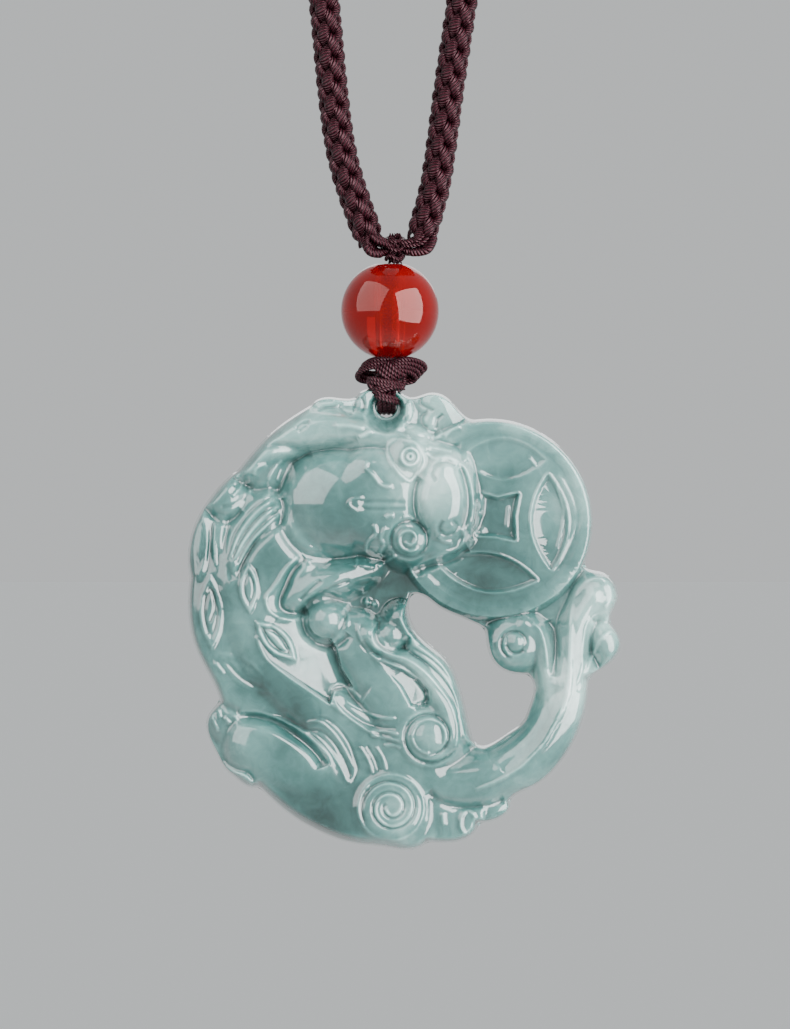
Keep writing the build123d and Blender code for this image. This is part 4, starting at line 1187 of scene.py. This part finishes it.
def jadeMesh():
    bm = bmesh.new()
    bm.from_mesh(nodes["jade_carving"].data)
    bmesh.ops.remove_doubles(bm, verts=bm.verts, dist=1e-6)
    bmesh.ops.recalc_face_normals(bm, faces=bm.faces)
    trees = [wallTree(group) for group in wallLoops(bm)[:3]]
    # Carved once coarsely and remeshed, so that steep slopes get edges of their own, and then for good
    mesh = remeshed(meshOf(bm, "jadeStart"))
    carve(mesh, trees)
    mesh = remeshed(mesh)
    print("jade remeshed", len(mesh.polygons))
    halveFront(mesh)
    carve(mesh, trees)
    print("jade carved", len(mesh.polygons))
    return mesh


# Painted shade from the relief: how many smoothing rounds, how strongly hollows darken and crests pale, and
# the most it may shift
reliefShadeSet = {"rounds": 14, "relief": 1.1, "most": 0.22}


def reliefOf(mesh, rows):
    # How far each vertex stands above its neighbourhood, in mm
    ends = np.zeros(len(mesh.edges) * 2, dtype=np.int32)
    mesh.edges.foreach_get("vertices", ends)
    first, second = ends.reshape(-1, 2).T
    count = len(rows)
    links = np.bincount(first, minlength=count) + np.bincount(second, minlength=count)
    level = rows[:, 1]
    for smoothing in range(reliefShadeSet["rounds"]):
        total = np.bincount(first, level[second], count) + np.bincount(second, level[first], count)
        level = (level + total) / (links + 1)
    return (rows[:, 1] - level) * np.sign(rows[:, 1]) / mm


def paintJadeToneAndShade(mesh):
    # Where the stone is paler or darker, as a number on each vertex that its material reads: patches that
    # are partly its own clouds and partly painted light and shade, and painted shade that darkens hollows
    # and pales crests
    rows = coordinates(mesh)
    x, z = rows[:, 0] / mm, rows[:, 2] / mm
    toneAndShade = np.zeros(len(rows))
    for name, px, py, reach, amount in toneAndLightPatches:
        middle = places([(px, py)])[0]
        away = np.hypot(x - middle[0], z - middle[1])
        toneAndShade += amount * np.exp(-((away / (reach * pixelAcross)) ** 2))
    # Painted shade: hollows darker and crests paler, by how far each place stands above its neighbourhood
    toneAndShade += np.clip(reliefOf(mesh, rows) * reliefShadeSet["relief"], -reliefShadeSet["most"], reliefShadeSet["most"])
    layer = mesh.attributes.new("toneAndShade", "FLOAT", "POINT")
    layer.data.foreach_set("value", toneAndShade.astype(np.float32))


carvedMesh = jadeMesh()
paintJadeToneAndShade(carvedMesh)
triangles = sum(len(face.vertices) - 2 for face in carvedMesh.polygons)
if triangles > carving["triangles"]:
    # Fewer triangles where the surface is flat, so that the fine ones stay for its carved lines
    settings = {"ratio": carving["triangles"] / triangles, "use_collapse_triangulate": True}
    carvedMesh = madeMesh(carvedMesh, "DECIMATE", settings)
carvedMesh.name = "carvedJade"
newPiece("carvedJade", carvedMesh, jade, "jade", ["jade_carving"])


# Studio: a plain pale floor below, a pale surround, and soft boxes that show as panes on the polish
studio = {"floorBelow": 1.5, "floorSize": 400.0, "floor": "#d2d4d4", "floorGlow": 0.272,
          "surround": "#dfe2e3", "surroundStrength": 0.8}


def floorMaterial():
    # Matt paper floor under the pendant, laid flat
    material, tree = newMaterial("paperSweep")
    place = addNode(tree, "ShaderNodeTexCoord")
    grain = addNode(tree, "ShaderNodeTexNoise", inputs={"Vector": place.outputs["Object"], "Scale": 40.0})
    bump = addNode(tree, "ShaderNodeBump", inputs={
        "Height": grain.outputs["Fac"], "Strength": 0.05, "Distance": 0.2 * mm})
    surface = addNode(tree, "ShaderNodeBsdfPrincipled", inputs={
        "Base Color": linear(studio["floor"]), "Roughness": 0.9, "Normal": bump.outputs["Normal"],
        "Emission Color": linear(studio["surround"]), "Emission Strength": studio["floorGlow"]})
    addNode(tree, "ShaderNodeOutputMaterial", inputs={"Surface": surface.outputs["BSDF"]})
    return material


middle = (jadeLow + jadeHigh) / 2
bm = bmesh.new()
bmesh.ops.create_grid(bm, x_segments=1, y_segments=1, size=studio["floorSize"] / 2)
bmesh.ops.translate(bm, verts=bm.verts, vec=(0, 0, jadeLow.z - studio["floorBelow"]))
floorMesh = meshOf(bm, "floor")
floorMesh.materials.append(floorMaterial())
floorObject = bpy.data.objects.new("floor", floorMesh)
bpy.context.collection.objects.link(floorObject)


def softBox(name, azimuth, elevation, distance, width, height, radiance):
    turn, rise = math.radians(azimuth), math.radians(elevation)
    away = Vector((math.sin(turn) * math.cos(rise), -math.cos(turn) * math.cos(rise), math.sin(rise)))
    data = bpy.data.lights.new(name, "AREA")
    data.shape = "RECTANGLE"
    data.size = width
    data.size_y = height
    data.energy = radiance * math.pi * width * height
    lamp = bpy.data.objects.new(name, data)
    lamp.location = middle + away * distance
    lamp.rotation_euler = (middle - lamp.location).to_track_quat("-Z", "Y").to_euler()
    lamp.visible_camera = False
    bpy.context.collection.objects.link(lamp)


softBoxes = [
    # name, degrees to the right of the camera and above it, distance from the jade, width, height, radiance
    ("boxRight", 52, 12, 0.9, 1.15, 1.3, 9.0),
    ("boxLeft", -54, 32, 0.9, 1.2, 1.1, 3.0),
    ("boxBehind", 174, 35, 0.9, 0.5, 0.9, 1.3),
]
for row in softBoxes:
    softBox(*row)

world = bpy.data.worlds.new("surround")
world.use_nodes = True
world.node_tree.nodes.clear()
sky = addNode(world.node_tree, "ShaderNodeBackground", inputs={
    "Color": linear(studio["surround"]), "Strength": studio["surroundStrength"]})
addNode(world.node_tree, "ShaderNodeOutputWorld", inputs={"Surface": sky.outputs["Background"]})
bpy.context.scene.world = world
print("studio set")
